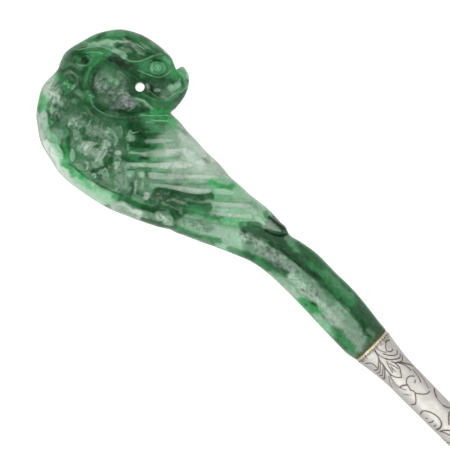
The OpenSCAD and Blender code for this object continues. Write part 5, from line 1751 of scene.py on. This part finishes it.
class HairpinGiltLip(bpy.types.Operator):
    """Builds the gilt lip between jade and silver"""

    bl_idname = "hairpin.gilt_lip"
    bl_label = "Gilt lip"

    def execute(self, context):
        sizes, silver = context.scene.jade_sizes, context.scene.silver_sizes
        place = pin_matrix(silver)
        lip = lip_mesh(sizes, silver, place)
        x, y, z = pin_points(lip, place).T
        depth = x - silver.seat_gap / MM
        in_joint = np.clip(1 - depth / JOINT_CEMENT_END, 0, JOINT_CEMENT)
        past_start = np.clip((depth - NOTCH_CEMENT_START) / NOTCH_CEMENT_FADE, 0, 1)
        in_notches = NOTCH_CEMENT * past_start * lip_notches(np.arctan2(y, z))
        keep_values(lip, "joint", np.maximum(in_joint, in_notches))
        finish_piece(lip, METAL_EDGE, gilt_material(context.scene.pin_colours), "gilt", "gilt_lip")
        return {"FINISHED"}


class HairpinSilverShank(bpy.types.Operator):
    """Builds the chased silver shank"""

    bl_idname = "hairpin.silver_shank"
    bl_label = "Silver shank"

    def execute(self, context):
        sizes, silver = context.scene.jade_sizes, context.scene.silver_sizes
        shank = shank_mesh(sizes, silver, pin_matrix(silver))
        metal = silver_material(context.scene.pin_colours)
        finish_piece(shank, METAL_EDGE, metal, "silver", "silver_shank")
        return {"FINISHED"}


class HairpinStudio(bpy.types.Operator):
    """Lays the pin on a backlit opal sheet under two soft boxes, with the camera straight above"""

    bl_idname = "hairpin.studio"
    bl_label = "Studio"

    def execute(self, context):
        scene = context.scene
        middle = pin_matrix(scene.silver_sizes) @ Vector((*VIEW_MIDDLE, 0))
        bpy.ops.mesh.primitive_plane_add(size=TABLE_SIZE, location=(0, 0, 0))
        floor = context.object
        floor.name = "light_table"
        floor.data.materials.append(opal_material(scene.pin_colours))
        floor.visible_glossy = False

        lens = bpy.data.cameras.new("camera")
        lens.sensor_width = SENSOR
        lens.lens = SENSOR * (CAMERA_HEIGHT - middle.z) / VIEW_WIDTH
        camera = bpy.data.objects.new("camera", lens)
        camera.location = (middle.x, middle.y, CAMERA_HEIGHT)
        camera.rotation_euler = (0, 0, scene.jade_sizes.pin_lean)
        scene.collection.objects.link(camera)
        scene.camera = camera

        near, far = (SOFTBOX_HEIGHT * math.tan(math.radians(a)) for a in SOFTBOX_ENDS)
        for sides in SOFTBOX_SIDES:
            low, high = (SOFTBOX_HEIGHT * math.tan(math.radians(a)) for a in sides)
            box = bpy.data.lights.new("softbox", "AREA")
            box.shape = "RECTANGLE"
            box.size = far - near
            box.size_y = high - low
            box.energy = SOFTBOX_WATTS * box.size * box.size_y
            softbox = bpy.data.objects.new("softbox", box)
            softbox.location = (middle.x + (far + near) / 2, middle.y + (high + low) / 2, SOFTBOX_HEIGHT)
            softbox.visible_camera = False
            scene.collection.objects.link(softbox)

        scene.world = bpy.data.worlds.new("studio")
        scene.world.use_nodes = True
        room = scene.world.node_tree.nodes["Background"]
        room.inputs["Color"].default_value = (1, 1, 1, 1)
        room.inputs["Strength"].default_value = ROOM_STRENGTH
        scene.view_settings.view_transform = "Standard"
        return {"FINISHED"}


class HairpinPanel(bpy.types.Panel):
    """Lists the pieces of the pin, its sizes and its colours"""

    bl_label = "Hairpin"
    bl_idname = "VIEW3D_PT_hairpin"
    bl_space_type = "VIEW_3D"
    bl_region_type = "UI"
    bl_category = "Hairpin"

    def draw(self, context):
        for operator in OPERATORS:
            self.layout.operator(operator.bl_idname)
        for group in (context.scene.jade_sizes, context.scene.silver_sizes, context.scene.pin_colours):
            column = self.layout.column(align=True)
            for name in group.__annotations__:
                column.prop(group, name)


GROUPS = (HairpinJadeSizes, HairpinSilverSizes, HairpinColours)
OPERATORS = (HairpinJadeBird, HairpinGiltLip, HairpinSilverShank, HairpinStudio)


def register():
    """Makes the groups, operators and panel known to Blender."""
    for made in (*GROUPS, *OPERATORS, HairpinPanel):
        bpy.utils.register_class(made)
    bpy.types.Scene.jade_sizes = PointerProperty(type=HairpinJadeSizes)
    bpy.types.Scene.silver_sizes = PointerProperty(type=HairpinSilverSizes)
    bpy.types.Scene.pin_colours = PointerProperty(type=HairpinColours)


def unregister():
    """Takes them away again."""
    del bpy.types.Scene.pin_colours
    del bpy.types.Scene.silver_sizes
    del bpy.types.Scene.jade_sizes
    for made in reversed((*GROUPS, *OPERATORS, HairpinPanel)):
        bpy.utils.unregister_class(made)


def main():
    """Builds every piece in order."""
    register()
    bpy.ops.hairpin.jade_bird()
    bpy.ops.hairpin.gilt_lip()
    bpy.ops.hairpin.silver_shank()
    bpy.ops.hairpin.studio()


if __name__ == "__main__":
    main()
